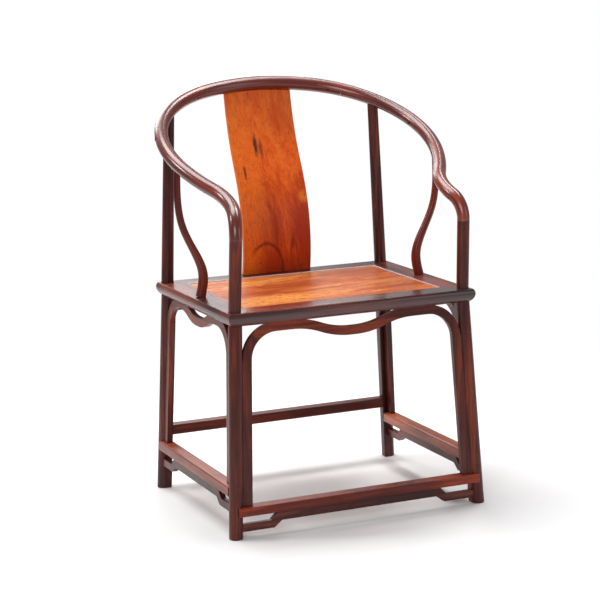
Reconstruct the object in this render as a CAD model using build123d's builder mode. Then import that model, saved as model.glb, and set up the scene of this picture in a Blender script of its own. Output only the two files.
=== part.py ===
from build123d import *
from math import atan2, ceil, cos, degrees, radians, sin, sqrt
import os

# Horseshoe-back armchair in hardwood, joined without metal.
# Millimetres, +Z up, the sitter faces -Y. Left and right are as seen from the front,
# so every name that ends in _right lies at +X.
# The chair is drawn about the middle of its seat frame, on the floor, and each piece is
# saved with the origin on the floor in the middle of the whole chair's plan.

os.makedirs("parts", exist_ok=True)

# ---------------------------------------------------------------- driving dimensions
FIT = 0.1  # gap all round a glued joint
END_GAP = 1.0  # room left at the bottom of a blind mortise

# Seat frame
SEAT_HEIGHT = 500.0  # floor to the top of the frame
SEAT_WIDTH = 600.0
SEAT_DEPTH = 470.0
RAIL_THICK = 30.0
RAIL_WIDTH = 62.0
EDGE_BELLY = 10.0  # the moulded edge is fullest this far below the top
EDGE_TOP_IN = 4.0  # how far the top arris stands in from the belly
EDGE_UNDER_IN = 12.0  # how far the bottom of the edge curves in
INNER_ROUND = 3.0  # rounding beside the panel
CORNER_TENON_WIDE = 18.0
CORNER_TENON_THICK = 9.0
CORNER_TENON_UP = 5.0  # from the underside of the frame
CORNER_TENON_IN = 4.0  # from the frame's inner corner to the tenon
CORNER_TENON_SHORT = 16.0  # wood left outside the tenon's end

# Seat panel and its battens
PANEL_THICK = 11.0
PANEL_DROP = 1.5  # below the top of the frame
PANEL_GAP = 0.3  # all round the floating panel
TONGUE_THICK = 5.0
TONGUE_DEEP = 8.0
BATTEN_SPACING = 200.0
BATTEN_WIDE = 26.0
BATTEN_DEEP = 14.0  # below the panel
DOVETAIL_DEEP = 3.0
DOVETAIL_SIDE = 1.5  # how far the dovetail widens into the panel on each side
BATTEN_TENON_DEEP = 16.0
BATTEN_TENON_THICK = 8.0

# Legs
FOOT_SPAN_X = 600.0  # between the leg axes at the floor
FOOT_SPAN_Y = 470.0
LEG_SIZE = 31.0
LEG_INNER_ROUND = 2.0
SOLE_CHAMFER = 1.5
LEG_INSET_X = 22.0  # from the frame's side to the leg axis under the seat
FRONT_LEG_INSET_Y = 22.0
REAR_LEG_INSET_Y = 20.0
FRONT_POST_DIAMETER = 28.0
REAR_POST_DIAMETER = 29.0
NECK_MORE = 1.0  # the neck in the seat frame is this much thicker than its post
REAR_POST_TOP_DIAMETER = 25.0
REAR_POST_STRAIGHT = 40.0  # it tapers up to this far below the middle of the crest
REAR_POST_TENON = 14.0
ELBOW_TENON = 12.0  # square tenon of the front post
ELBOW_TENON_LONG = 18.0

# Crest rail: tangent arcs in a plane that falls towards the front
CREST_BACK_Y = 308.5
CREST_RISE = 447.5  # from the seat to the middle of the rail at the back
CREST_TILT = 24.95
CREST_BACK_RADIUS = 415.6
CREST_BACK_TURN = 18.4
CREST_SHOULDER_RADIUS = 283.5
CREST_SHOULDER_TURN = 85.8
CREST_ARM_RADIUS = 406.4
CREST_ARM_TURN = 14.6
CREST_FLARE_RADIUS = 138.0
CREST_FLARE_TURN = 42.4
ELBOW_RADIUS = 55.8
CREST_BACK_DIAMETER = 35.5
CREST_SIDE_DIAMETER = 30.8  # from the rear posts on
CREST_SPACING = 26.0  # between the sections it is worked to
CREST_STRAIGHT = 26.0  # the rail is worked straight this far wherever something is cut into it
CREST_KNEE = 4.0  # between two straight lengths
ELBOW_STEPS = 6
REAR_POST_DISTANCE = 293.0  # along the crest from its middle to the rear post
SIDE_POST_DISTANCE = 538.0  # and to the side post

# Scarf joints of the crest rail
SCARF_BACK_DISTANCE = 180.0  # along the crest from its middle to the middle of the joint
SCARF_ARM_DISTANCE = 425.0
SCARF_LONG = 64.0
SCARF_TONGUE_LONG = 5.0
SCARF_TONGUE_THICK = 4.0
SCARF_TONGUE_WIDE = 12.0
SCARF_TONGUE_OFF = 3.0  # from the lap face to the tongue
PEG_OUTER = 9.0  # square peg, driven in from outside
PEG_INNER = 7.0

# Side posts, each in an upright plane across the chair; heights are above the seat
SIDE_POST_FOOT_X = 276.0
SIDE_POST_HOLLOW = (268.3, 50.0)
SIDE_POST_RISE = (287.0, 104.0)
SIDE_POST_BULGE = (314.7, 167.0)
SIDE_POST_SHOULDER = (322.9, 229.0)
SIDE_POST_FOOT_DIAMETER = 22.5
SIDE_POST_MID_DIAMETER = 17.0
SIDE_POST_TOP_DIAMETER = 15.0
SIDE_POST_FULL_TO = 0.12  # shares of the post's length: as thick as the foot up to here,
SIDE_POST_SLIM_AT = 0.4  # and slim from here
SIDE_POST_STEPS = 13  # lengths it is worked in
SIDE_POST_TENON = 13.0
SIDE_POST_TENON_DEEP = 18.0
SIDE_POST_TOP_TENON = 8.0

# Splat: a plain board bent to an S in side view
SPLAT_FOOT_WIDTH = 173.6
SPLAT_TOP_WIDTH = 168.0
SPLAT_THICK = 11.0
SPLAT_TENON_THICK = 6.0
SPLAT_TENON_IN = 9.0  # from the board's edge to the tenon
SPLAT_TENON_DEEP = 15.0
SPLAT_FOOT_Y = 214.5
SPLAT_FOOT_LEAN = 12.1  # degrees forward, where it leaves the seat
SPLAT_LOWER_RADIUS = 363.0
SPLAT_LOWER_TURN = 34.2
SPLAT_MIDDLE_RADIUS = 724.0
SPLAT_MIDDLE_TURN = 4.0
SPLAT_UPPER_RADIUS = 581.0
SPLAT_UPPER_TURN = 19.7

# Arched aprons: three pieces under the seat at the front and at each side
APRON_THICK = 12.0
APRON_OUT = 7.0  # from the plane of the leg axes to the outer face
APRON_BAND = 20.5
APRON_CORNER_RADIUS = 70.0  # along the middle of the band
APRON_TONGUE_THICK = 4.0
APRON_TONGUE_DEEP = 4.0
APRON_TRIM = 1.0  # cut off the leaning top, so that it meets the seat frame flat
SIDE_APRON_TRIM = 6.0  # more at the sides, where the arch stands higher
FRONT_DIP = 26.5  # how far the middle hangs below the humps
FRONT_DIP_FLAT = 6.0  # half length of the level middle
FRONT_HUMP = 132.0  # from the leg axis under the seat to where the hump is level
SIDE_DIP = 22.0
SIDE_DIP_FLAT = 8.0
SIDE_HUMP = 107.0
BACK_APRON_HIGH = 38.0

# Footrest and stretchers
FOOTREST_TOP = 71.0
FOOTREST_THICK = 20.0
FOOTREST_OUT = 20.0  # in front of the leg axes
FOOTREST_IN = 11.0
FOOTREST_ROUND = 3.0
STRETCHER_HIGH = 24.0
SIDE_STRETCHER_TOP = 117.0
BACK_STRETCHER_TOP = 154.0
STRETCHER_OUT = 16.0  # outside the plane of the leg axes
STRETCHER_IN = 15.0
STRETCHER_ROUND = 4.0
COPE_SHORT = 6.0  # a coped end stops this far from the leg axis
STRETCHER_TENON_THICK = 8.0
TENON_SHOULDER = 1.5  # above and below a tenon
TENON_DEEP = 22.0
TENON_ROOT = 3.0  # how far a tenon is drawn back into its own rail

# Humped pieces below the footrest and the side stretchers
UNDER_THICK = 13.0
UNDER_OUT = 8.0
UNDER_HIGH = 21.5
UNDER_END_HIGH = 17.0
UNDER_DROP = 19.0  # how far the ends hang below the middle
UNDER_SLOPE = 19.0
UNDER_SHIFT = 7.0  # the lower slope starts this much nearer the middle
UNDER_ROUND = 4.0
UNDER_TENON_THICK = 6.0
UNDER_TENON_DEEP = 8.0
FRONT_UNDER_END = 81.0  # from the leg axis to the start of the slope
SIDE_UNDER_END = 71.0

# ---------------------------------------------------------------- derived places
FRAME_UNDER = SEAT_HEIGHT - RAIL_THICK
LEG_RADIUS = LEG_SIZE / 2
HALF_WIDTH = SEAT_WIDTH / 2
HALF_DEPTH = SEAT_DEPTH / 2
PANEL_TOP = SEAT_HEIGHT - PANEL_DROP
PANEL_UNDER = PANEL_TOP - PANEL_THICK
CREST_BACK_Z = SEAT_HEIGHT + CREST_RISE
NECK_X = HALF_WIDTH - LEG_INSET_X
FRONT_NECK = Vector(NECK_X, FRONT_LEG_INSET_Y - HALF_DEPTH, SEAT_HEIGHT)
REAR_NECK = Vector(NECK_X, HALF_DEPTH - REAR_LEG_INSET_Y, SEAT_HEIGHT)
FRONT_SHOULDER = Vector(FRONT_NECK.X, FRONT_NECK.Y, FRAME_UNDER)
REAR_SHOULDER = Vector(REAR_NECK.X, REAR_NECK.Y, FRAME_UNDER)
FRONT_FOOT = Vector(FOOT_SPAN_X / 2, -FOOT_SPAN_Y / 2, 0)
REAR_FOOT = Vector(FOOT_SPAN_X / 2, FOOT_SPAN_Y / 2, 0)

TO_RIGHT = Vector(1, 0, 0)
TO_FRONT = Vector(0, -1, 0)
TO_BACK = Vector(0, 1, 0)
UP = Vector(0, 0, 1)


def side_plane(foot, shoulder, level):
    """Plane through the axes of two legs, which lean towards each other; level runs along it."""
    lean = shoulder - foot
    lean = lean - level * lean.dot(level)
    middle = foot - level * foot.dot(level)
    return Plane(origin=middle, x_dir=level, z_dir=level.cross(lean))


FRONT_FACE = side_plane(FRONT_FOOT, FRONT_SHOULDER, TO_RIGHT)
BACK_FACE = side_plane(REAR_FOOT, REAR_SHOULDER, -TO_RIGHT)
SIDE_FACE = side_plane(FRONT_FOOT, FRONT_SHOULDER, TO_BACK)


# ---------------------------------------------------------------- shared shapes
def mirrored(piece):
    """The same piece on the other side of the chair."""
    with BuildPart() as other:
        mirror(piece.part, about=Plane.YZ)
    return other


def axis_at(foot, shoulder, height):
    """Point of a leg's axis at a height."""
    return foot + (shoulder - foot) * (height / FRAME_UNDER)


def leg_blank(foot, shoulder, grow=0.0):
    """Leg below the seat: round outside, square towards the middle of the chair."""
    radius = LEG_RADIUS + grow
    inward = 1 if foot.Y < 0 else -1
    run = shoulder - foot
    with BuildPart() as blank:
        with BuildSketch(Plane(origin=foot, x_dir=TO_BACK.cross(run), z_dir=run)):
            with BuildLine():
                CenterArc((0, 0), radius, 180, 270 * inward)
                FilletPolyline(
                    (0, radius * inward),
                    (-radius, radius * inward),
                    (-radius, 0),
                    radius=LEG_INNER_ROUND,
                )
            make_face()
        extrude(amount=FRAME_UNDER * 2, both=True)
        split(bisect_by=Plane.XY, keep=Keep.TOP)
        split(bisect_by=Plane.XY.offset(FRAME_UNDER), keep=Keep.BOTTOM)
    return blank


def tenon(centre, toward, thick, high, depth, grow=0.0, more=0.0):
    """Flat tenon that enters a leg in the direction toward, at the height of a point of its axis."""
    start = centre - toward * (LEG_RADIUS + TENON_ROOT)
    with BuildPart() as body:
        with BuildSketch(Plane(origin=start, x_dir=UP, z_dir=toward)):
            Rectangle(high + 2 * grow, thick + 2 * grow)
        extrude(amount=TENON_ROOT + depth + more)
    return body


def mortise(centre, toward, thick, high, depth):
    """What a blind tenon of these sizes is let into."""
    return tenon(centre, toward, thick, high, depth, FIT, END_GAP)


front_leg_blank = leg_blank(FRONT_FOOT, FRONT_SHOULDER)
front_leg_clear = leg_blank(FRONT_FOOT, FRONT_SHOULDER, FIT)
rear_leg_clear = leg_blank(REAR_FOOT, REAR_SHOULDER, FIT)
front_leg_clear_left = mirrored(front_leg_clear)
rear_leg_clear_left = mirrored(rear_leg_clear)


# ---------------------------------------------------------------- crest rail: its line
def turn_from(edge, radius, turn):
    """Arc that carries on smoothly from the end of an edge."""
    return JernArc(edge @ 1, edge % 1, radius, turn)


CREST_PLANE = Plane(
    origin=(0, CREST_BACK_Y, CREST_BACK_Z),
    x_dir=TO_RIGHT,
    z_dir=UP.rotate(Axis.X, CREST_TILT),
)
with BuildLine(CREST_PLANE) as crest_line:
    crest_back = JernArc((0, 0), (1, 0), CREST_BACK_RADIUS, -CREST_BACK_TURN)
    crest_shoulder = turn_from(crest_back, CREST_SHOULDER_RADIUS, -CREST_SHOULDER_TURN)
    crest_arm = turn_from(crest_shoulder, CREST_ARM_RADIUS, -CREST_ARM_TURN)
    crest_flare = turn_from(crest_arm, CREST_FLARE_RADIUS, CREST_FLARE_TURN)
crest_wire = crest_line.wire()


def crest_section(length):
    """Plane across the crest, this far from its middle: X along it, Y outward, Z upward."""
    return Plane(
        origin=crest_wire.position_at(length, position_mode=PositionMode.LENGTH),
        x_dir=crest_wire.tangent_at(length, position_mode=PositionMode.LENGTH),
        z_dir=CREST_PLANE.z_dir,
    )


# The elbow leaves the flare smoothly and comes down smoothly on the line of the front post.
elbow_plane = Plane(
    origin=crest_flare @ 1,
    x_dir=crest_flare % 1,
    z_dir=(crest_flare % 1).cross(FRONT_NECK - crest_flare @ 1),
)
neck_in_elbow = elbow_plane.to_local_coords(FRONT_NECK)
neck_over_centre = neck_in_elbow.Y - ELBOW_RADIUS
post_run = sqrt(neck_in_elbow.X**2 + neck_over_centre**2 - ELBOW_RADIUS**2)
elbow_turn = atan2(neck_over_centre, neck_in_elbow.X) + atan2(ELBOW_RADIUS, post_run)
FRONT_POST_TOP = elbow_plane.from_local_coords(
    Vector(ELBOW_RADIUS * sin(elbow_turn), ELBOW_RADIUS * (1 - cos(elbow_turn)), 0)
)
front_post_rise = (FRONT_POST_TOP - FRONT_NECK).normalized()
REAR_POST_TOP = crest_section(REAR_POST_DISTANCE).origin
rear_post_rise = (REAR_POST_TOP - REAR_NECK).normalized()


def straight_middles():
    """Middles of the crest's straight lengths: over the splat, at each scarf, over each post."""
    pitch = CREST_STRAIGHT + CREST_KNEE
    over_splat = [step * pitch for step in range(ceil(SPLAT_TOP_WIDTH / 2 / pitch) + 1)]
    at_scarfs = [
        scarf + step * pitch
        for scarf in (SCARF_BACK_DISTANCE, SCARF_ARM_DISTANCE)
        for step in (-1, 0, 1)
    ]
    return sorted([*over_splat, *at_scarfs, REAR_POST_DISTANCE, SIDE_POST_DISTANCE])


def crest_diameter(length):
    """Thickest at the back, thinner down to the rear post, then even."""
    share = min(length / REAR_POST_DISTANCE, 1)
    return CREST_BACK_DIAMETER + (CREST_SIDE_DIAMETER - CREST_BACK_DIAMETER) * share


def free_stations(start, end):
    """Sections between two distances along the crest, each facing along the curve."""
    steps = max(round((end - start) / CREST_SPACING), 1)
    found = []
    for step in range(1, steps):
        length = start + (end - start) * step / steps
        across = crest_section(length)
        found.append((across.origin, across.x_dir, crest_diameter(length)))
    return found


def crest_stations():
    """Where the right half of the crest is set out: each section's centre, heading and diameter."""
    found = []
    reached = 0
    for middle in straight_middles():
        end = middle + CREST_STRAIGHT / 2
        head = crest_section(end).origin
        if middle > 0:
            start = middle - CREST_STRAIGHT / 2
            tail = crest_section(start).origin
            heading = (head - tail).normalized()
            found += free_stations(reached, start)
        else:
            tail = Vector(0, head.Y, head.Z)
            heading = TO_RIGHT
        diameter = crest_diameter(middle)
        found += [(tail, heading, diameter), (head, heading, diameter)]
        reached = end
    found += free_stations(reached, crest_wire.length)
    return [*found, (crest_flare @ 1, crest_flare % 1, CREST_SIDE_DIAMETER)]


def crest_blank(grow=0.0):
    """Right half of the whole crest rail, from its thick middle down to the front post."""
    with BuildPart() as blank:
        for centre, heading, diameter in crest_stations():
            with BuildSketch(Plane(origin=centre, x_dir=CREST_PLANE.z_dir, z_dir=heading)):
                Circle(diameter / 2 + grow)
        loft(ruled=True)
        with BuildLine(elbow_plane) as bend:
            JernArc((0, 0), (1, 0), ELBOW_RADIUS, degrees(elbow_turn))
        for step in range(ELBOW_STEPS + 1):
            place = step / ELBOW_STEPS
            diameter = CREST_SIDE_DIAMETER + (FRONT_POST_DIAMETER - CREST_SIDE_DIAMETER) * place
            with BuildSketch(
                Plane(origin=bend.line @ place, x_dir=elbow_plane.z_dir, z_dir=bend.line % place)
            ):
                Circle(diameter / 2 + grow)
        loft(ruled=True)
    return blank


crest_half = crest_blank()
crest_clear = crest_blank(FIT)


# ---------------------------------------------------------------- crest rail: its scarfs
def beyond_scarf(length):
    """Everything from a scarf onwards, with the upper lap, its tongue and the lower slot.

    Each member keeps half the thickness over the lap. The tongue at the end of each lap
    slips into a slot in the other member, so neither can lift.
    """
    wide = SEAT_WIDTH * 2
    lap = CREST_BACK_DIAMETER
    tongue = (SCARF_TONGUE_LONG, SCARF_TONGUE_WIDE, SCARF_TONGUE_THICK)
    half = SCARF_LONG / 2
    with BuildPart(crest_section(length)) as beyond:
        with Locations((half, 0, 0)):
            Box(wide, wide, wide, align=(Align.MIN, Align.CENTER, Align.CENTER))
        Box(SCARF_LONG, lap * 2, lap, align=(Align.CENTER, Align.CENTER, Align.MIN))
        with Locations((-half, 0, SCARF_TONGUE_OFF)):
            Box(*tongue, align=(Align.MAX, Align.CENTER, Align.MIN))
        with Locations((half, 0, -SCARF_TONGUE_OFF)):
            Box(
                *tongue,
                align=(Align.MIN, Align.CENTER, Align.MAX),
                mode=Mode.SUBTRACT,
            )
    return beyond


def scarf_wedge(length):
    """Square tapered peg across the middle of a scarf, driven in from outside."""
    across = crest_section(length)
    low = (PEG_OUTER - PEG_INNER) / 2
    high = PEG_OUTER - low
    with BuildPart(Plane(origin=across.origin, x_dir=across.x_dir, z_dir=-across.z_dir)) as wedge:
        Wedge(PEG_OUTER, CREST_BACK_DIAMETER, PEG_OUTER, low, low, high, high)
    return wedge


beyond_back_scarf = beyond_scarf(SCARF_BACK_DISTANCE)
beyond_arm_scarf = beyond_scarf(SCARF_ARM_DISTANCE)
back_wedge = scarf_wedge(SCARF_BACK_DISTANCE)
arm_wedge = scarf_wedge(SCARF_ARM_DISTANCE)

with BuildPart() as crest_peg_back_right:
    add(back_wedge.part)
    add(crest_half.part, mode=Mode.INTERSECT)
crest_peg_back_left = mirrored(crest_peg_back_right)

with BuildPart() as crest_peg_arm_right:
    add(arm_wedge.part)
    add(crest_half.part, mode=Mode.INTERSECT)
crest_peg_arm_left = mirrored(crest_peg_arm_right)


# ---------------------------------------------------------------- front posts and rear posts
def elbow_tenon(grow=0.0, more=0.0):
    """Square tenon on top of the front post, inside the elbow."""
    with BuildPart() as body:
        root = FRONT_POST_TOP - front_post_rise * TENON_ROOT
        with BuildSketch(Plane(origin=root, z_dir=front_post_rise)):
            Rectangle(ELBOW_TENON + 2 * grow, ELBOW_TENON + 2 * grow)
        extrude(amount=TENON_ROOT + ELBOW_TENON_LONG + more)
    return body


def rear_post_tenon(grow=0.0, more=0.0):
    """Round tenon of the rear post, which ends a little past the middle of the crest."""
    with BuildPart() as body:
        root = REAR_POST_TOP - rear_post_rise * (CREST_SIDE_DIAMETER / 2 + 2 * TENON_ROOT)
        with BuildSketch(Plane(origin=root, z_dir=rear_post_rise)):
            Circle(REAR_POST_TENON / 2 + grow)
        extrude(amount=CREST_SIDE_DIAMETER / 2 + 3 * TENON_ROOT + more)
    return body


with BuildPart() as front_post:
    with BuildSketch(Plane(origin=FRONT_POST_TOP, z_dir=-front_post_rise)):
        Circle(FRONT_POST_DIAMETER / 2)
    extrude(amount=post_run + RAIL_THICK)
    split(bisect_by=Plane.XY.offset(SEAT_HEIGHT), keep=Keep.TOP)

with BuildPart() as rear_post:
    for centre, heading, diameter in (
        (REAR_NECK, UP, REAR_POST_DIAMETER),
        (
            REAR_POST_TOP - rear_post_rise * REAR_POST_STRAIGHT,
            rear_post_rise,
            REAR_POST_TOP_DIAMETER,
        ),
        (REAR_POST_TOP, rear_post_rise, REAR_POST_TOP_DIAMETER),
    ):
        with BuildSketch(Plane(origin=centre, x_dir=TO_RIGHT.cross(heading), z_dir=heading)):
            Circle(diameter / 2)
    loft(ruled=True)
    add(crest_clear.part, mode=Mode.SUBTRACT)


def neck(shoulder, post_diameter, grow=0.0):
    """Round part of a leg inside the seat frame."""
    with BuildPart() as body:
        with BuildSketch(Plane(origin=shoulder)):
            Circle((post_diameter + NECK_MORE) / 2 + grow)
        extrude(amount=RAIL_THICK)
    return body


# ---------------------------------------------------------------- side posts
side_post_head = crest_section(SIDE_POST_DISTANCE).origin
SIDE_POST_PLANE = Plane(origin=(0, side_post_head.Y, SEAT_HEIGHT), x_dir=TO_RIGHT, z_dir=TO_FRONT)
SIDE_POST_HEAD = (side_post_head.X, side_post_head.Z - SEAT_HEIGHT)


def side_post_bottom_tenon(grow=0.0, more=0.0):
    """Round tenon of the side post in the side rail."""
    with BuildPart() as body:
        with BuildSketch(Plane(origin=(SIDE_POST_FOOT_X, side_post_head.Y, SEAT_HEIGHT), z_dir=-UP)):
            Circle(SIDE_POST_TENON / 2 + grow)
        extrude(amount=SIDE_POST_TENON_DEEP + more)
    return body


def side_post_top_tenon(grow=0.0, more=0.0):
    """Round tenon of the side post, which ends at the middle of the crest."""
    with BuildPart() as body:
        root = side_post_head - UP * (CREST_SIDE_DIAMETER / 2 + TENON_ROOT)
        with BuildSketch(Plane(origin=root)):
            Circle(SIDE_POST_TOP_TENON / 2 + grow)
        extrude(amount=CREST_SIDE_DIAMETER / 2 + TENON_ROOT + more)
    return body


def side_post_diameter(place):
    """Full at the foot, slender from the first bend up; place runs from 0 to 1 up the post."""
    foot_share = min(max((SIDE_POST_SLIM_AT - place) / (SIDE_POST_SLIM_AT - SIDE_POST_FULL_TO), 0), 1)
    top_share = max((place - SIDE_POST_SLIM_AT) / (1 - SIDE_POST_SLIM_AT), 0)
    foot_more = (SIDE_POST_FOOT_DIAMETER - SIDE_POST_MID_DIAMETER) * foot_share
    top_less = (SIDE_POST_MID_DIAMETER - SIDE_POST_TOP_DIAMETER) * top_share
    return SIDE_POST_MID_DIAMETER + foot_more - top_less


with BuildPart() as side_post_right:
    with BuildLine(SIDE_POST_PLANE) as side_curve:
        Spline(
            (SIDE_POST_FOOT_X, 0),
            SIDE_POST_HOLLOW,
            SIDE_POST_RISE,
            SIDE_POST_BULGE,
            SIDE_POST_SHOULDER,
            SIDE_POST_HEAD,
        )
    places = [step / SIDE_POST_STEPS for step in range(SIDE_POST_STEPS + 1)]
    head_heading = side_curve.line @ places[-1] - side_curve.line @ places[-2]
    headings = [UP, *(side_curve.line % place for place in places[1:-2]), head_heading, head_heading]
    diameters = [side_post_diameter(place) for place in places[:-1]]
    for place, heading, diameter in zip(places, headings, [*diameters, diameters[-1]]):
        with BuildSketch(Plane(origin=side_curve.line @ place, x_dir=TO_BACK, z_dir=heading)):
            Circle(diameter / 2)
    loft(ruled=True)
    add(crest_clear.part, mode=Mode.SUBTRACT)
    add(side_post_bottom_tenon().part)
    add(side_post_top_tenon().part)
side_post_left = mirrored(side_post_right)


# ---------------------------------------------------------------- splat
def splat_board(thick, inset, foot_drop):
    """Curved board from the seat to the middle of the crest, narrower by inset at each edge."""
    foot_half = SPLAT_FOOT_WIDTH / 2 - inset
    top_half = SPLAT_TOP_WIDTH / 2 - inset
    with BuildPart() as board:
        with BuildSketch(Plane.YZ):
            with BuildLine():
                heading = (-sin(radians(SPLAT_FOOT_LEAN)), cos(radians(SPLAT_FOOT_LEAN)))
                lower = JernArc(
                    (SPLAT_FOOT_Y, SEAT_HEIGHT), heading, SPLAT_LOWER_RADIUS, -SPLAT_LOWER_TURN
                )
                middle = turn_from(lower, SPLAT_MIDDLE_RADIUS, -SPLAT_MIDDLE_TURN)
                turn_from(middle, SPLAT_UPPER_RADIUS, SPLAT_UPPER_TURN)
            trace(line_width=thick)
            with Locations((SPLAT_FOOT_Y, SEAT_HEIGHT + TENON_ROOT)):
                Rectangle(thick, foot_drop + TENON_ROOT, align=(Align.CENTER, Align.MAX))
        extrude(amount=HALF_WIDTH, both=True)
        with BuildSketch(Plane.XZ):
            Polygon(
                (-foot_half, SEAT_HEIGHT - foot_drop),
                (foot_half, SEAT_HEIGHT - foot_drop),
                (top_half, CREST_BACK_Z + thick),
                (-top_half, CREST_BACK_Z + thick),
                align=None,
            )
        extrude(amount=SEAT_DEPTH, both=True, mode=Mode.INTERSECT)
    return board


splat_tenons = splat_board(SPLAT_TENON_THICK, SPLAT_TENON_IN, SPLAT_TENON_DEEP)
splat_mortises = splat_board(
    SPLAT_TENON_THICK + 2 * FIT, SPLAT_TENON_IN - FIT, SPLAT_TENON_DEEP + END_GAP
)
crest_clear_left = mirrored(crest_clear)

with BuildPart() as splat:
    add(splat_board(SPLAT_THICK, 0, 0).part)
    split(bisect_by=Plane.XY.offset(SEAT_HEIGHT), keep=Keep.TOP)
    add(crest_clear.part, mode=Mode.SUBTRACT)
    add(crest_clear_left.part, mode=Mode.SUBTRACT)
    add(splat.solids().sort_by(Axis.Z)[0], mode=Mode.REPLACE)
    add(splat_tenons.part)

# ---------------------------------------------------------------- crest rail: its members
with BuildPart() as crest_centre:
    add(crest_half.part)
    add(beyond_back_scarf.part, mode=Mode.SUBTRACT)
    add(back_wedge.part, mode=Mode.SUBTRACT)
    mirror(about=Plane.YZ)
    add(splat_mortises.part, mode=Mode.SUBTRACT)

with BuildPart() as crest_shoulder_right:
    add(crest_half.part)
    add(beyond_back_scarf.part, mode=Mode.INTERSECT)
    add(beyond_arm_scarf.part, mode=Mode.SUBTRACT)
    add(back_wedge.part, mode=Mode.SUBTRACT)
    add(arm_wedge.part, mode=Mode.SUBTRACT)
    add(rear_post_tenon(FIT, END_GAP).part, mode=Mode.SUBTRACT)
crest_shoulder_left = mirrored(crest_shoulder_right)

# The elbow's socket takes the front post like the bowl of a pipe takes its stem.
with BuildPart() as crest_arm_right:
    add(crest_half.part)
    add(beyond_arm_scarf.part, mode=Mode.INTERSECT)
    add(arm_wedge.part, mode=Mode.SUBTRACT)
    add(elbow_tenon(FIT, END_GAP).part, mode=Mode.SUBTRACT)
    add(side_post_top_tenon(FIT, END_GAP).part, mode=Mode.SUBTRACT)
crest_arm_left = mirrored(crest_arm_right)

# ---------------------------------------------------------------- footrest and stretchers
footrest_axis = axis_at(FRONT_FOOT, FRONT_SHOULDER, FOOTREST_TOP - FOOTREST_THICK / 2)
footrest_tenon = (STRETCHER_TENON_THICK, FOOTREST_THICK - 2 * TENON_SHOULDER, TENON_DEEP)
stretcher_tenon = (STRETCHER_TENON_THICK, STRETCHER_HIGH - 2 * TENON_SHOULDER, TENON_DEEP)
through_tenon = (STRETCHER_TENON_THICK, STRETCHER_HIGH - 2 * TENON_SHOULDER, LEG_SIZE * 2)
SIDE_STRETCHER_MIDDLE = SIDE_STRETCHER_TOP - STRETCHER_HIGH / 2
side_front_axis = axis_at(FRONT_FOOT, FRONT_SHOULDER, SIDE_STRETCHER_MIDDLE)
side_rear_axis = axis_at(REAR_FOOT, REAR_SHOULDER, SIDE_STRETCHER_MIDDLE)
back_axis = axis_at(REAR_FOOT, REAR_SHOULDER, BACK_STRETCHER_TOP - STRETCHER_HIGH / 2)

with BuildPart() as footrest:
    with BuildSketch(Plane.XY.offset(FOOTREST_TOP - FOOTREST_THICK)):
        with Locations((0, footrest_axis.Y - FOOTREST_OUT)):
            Rectangle(
                footrest_axis.X * 2,
                FOOTREST_OUT + FOOTREST_IN,
                align=(Align.CENTER, Align.MIN),
            )
    extrude(amount=FOOTREST_THICK)
    fillet(footrest.edges().filter_by(Axis.X).group_by(Axis.Y)[0], FOOTREST_ROUND)
    add(front_leg_clear.part, mode=Mode.SUBTRACT)
    add(front_leg_clear_left.part, mode=Mode.SUBTRACT)
    add(tenon(footrest_axis, TO_RIGHT, *footrest_tenon).part)
    mirror(tenon(footrest_axis, TO_RIGHT, *footrest_tenon).part, about=Plane.YZ)

with BuildPart() as side_through_tenon:
    add(tenon(side_front_axis, TO_FRONT, *through_tenon).part)
    add(front_leg_blank.part, mode=Mode.INTERSECT)

with BuildPart() as side_stretcher_right:
    with BuildSketch(Plane.XY.offset(SIDE_STRETCHER_TOP - STRETCHER_HIGH)):
        with Locations((side_front_axis.X - STRETCHER_IN, side_front_axis.Y + COPE_SHORT)):
            Rectangle(
                STRETCHER_IN + STRETCHER_OUT,
                side_rear_axis.Y - side_front_axis.Y - 2 * COPE_SHORT,
                align=(Align.MIN, Align.MIN),
            )
    extrude(amount=STRETCHER_HIGH)
    fillet(side_stretcher_right.edges().filter_by(Axis.Y), STRETCHER_ROUND)
    add(front_leg_clear.part, mode=Mode.SUBTRACT)
    add(rear_leg_clear.part, mode=Mode.SUBTRACT)
    add(tenon(side_front_axis, TO_FRONT, *stretcher_tenon).part)
    add(side_through_tenon.part)
    add(tenon(side_rear_axis, TO_BACK, *stretcher_tenon).part)
side_stretcher_left = mirrored(side_stretcher_right)

with BuildPart() as back_stretcher:
    with BuildSketch(Plane.XY.offset(BACK_STRETCHER_TOP - STRETCHER_HIGH)):
        with Locations((0, back_axis.Y - STRETCHER_IN)):
            Rectangle(
                (back_axis.X - COPE_SHORT) * 2,
                STRETCHER_IN + STRETCHER_OUT,
                align=(Align.CENTER, Align.MIN),
            )
    extrude(amount=STRETCHER_HIGH)
    fillet(back_stretcher.edges().filter_by(Axis.X), STRETCHER_ROUND)
    add(rear_leg_clear.part, mode=Mode.SUBTRACT)
    add(rear_leg_clear_left.part, mode=Mode.SUBTRACT)
    add(tenon(back_axis, TO_RIGHT, *stretcher_tenon).part)
    mirror(tenon(back_axis, TO_RIGHT, *stretcher_tenon).part, about=Plane.YZ)


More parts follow.
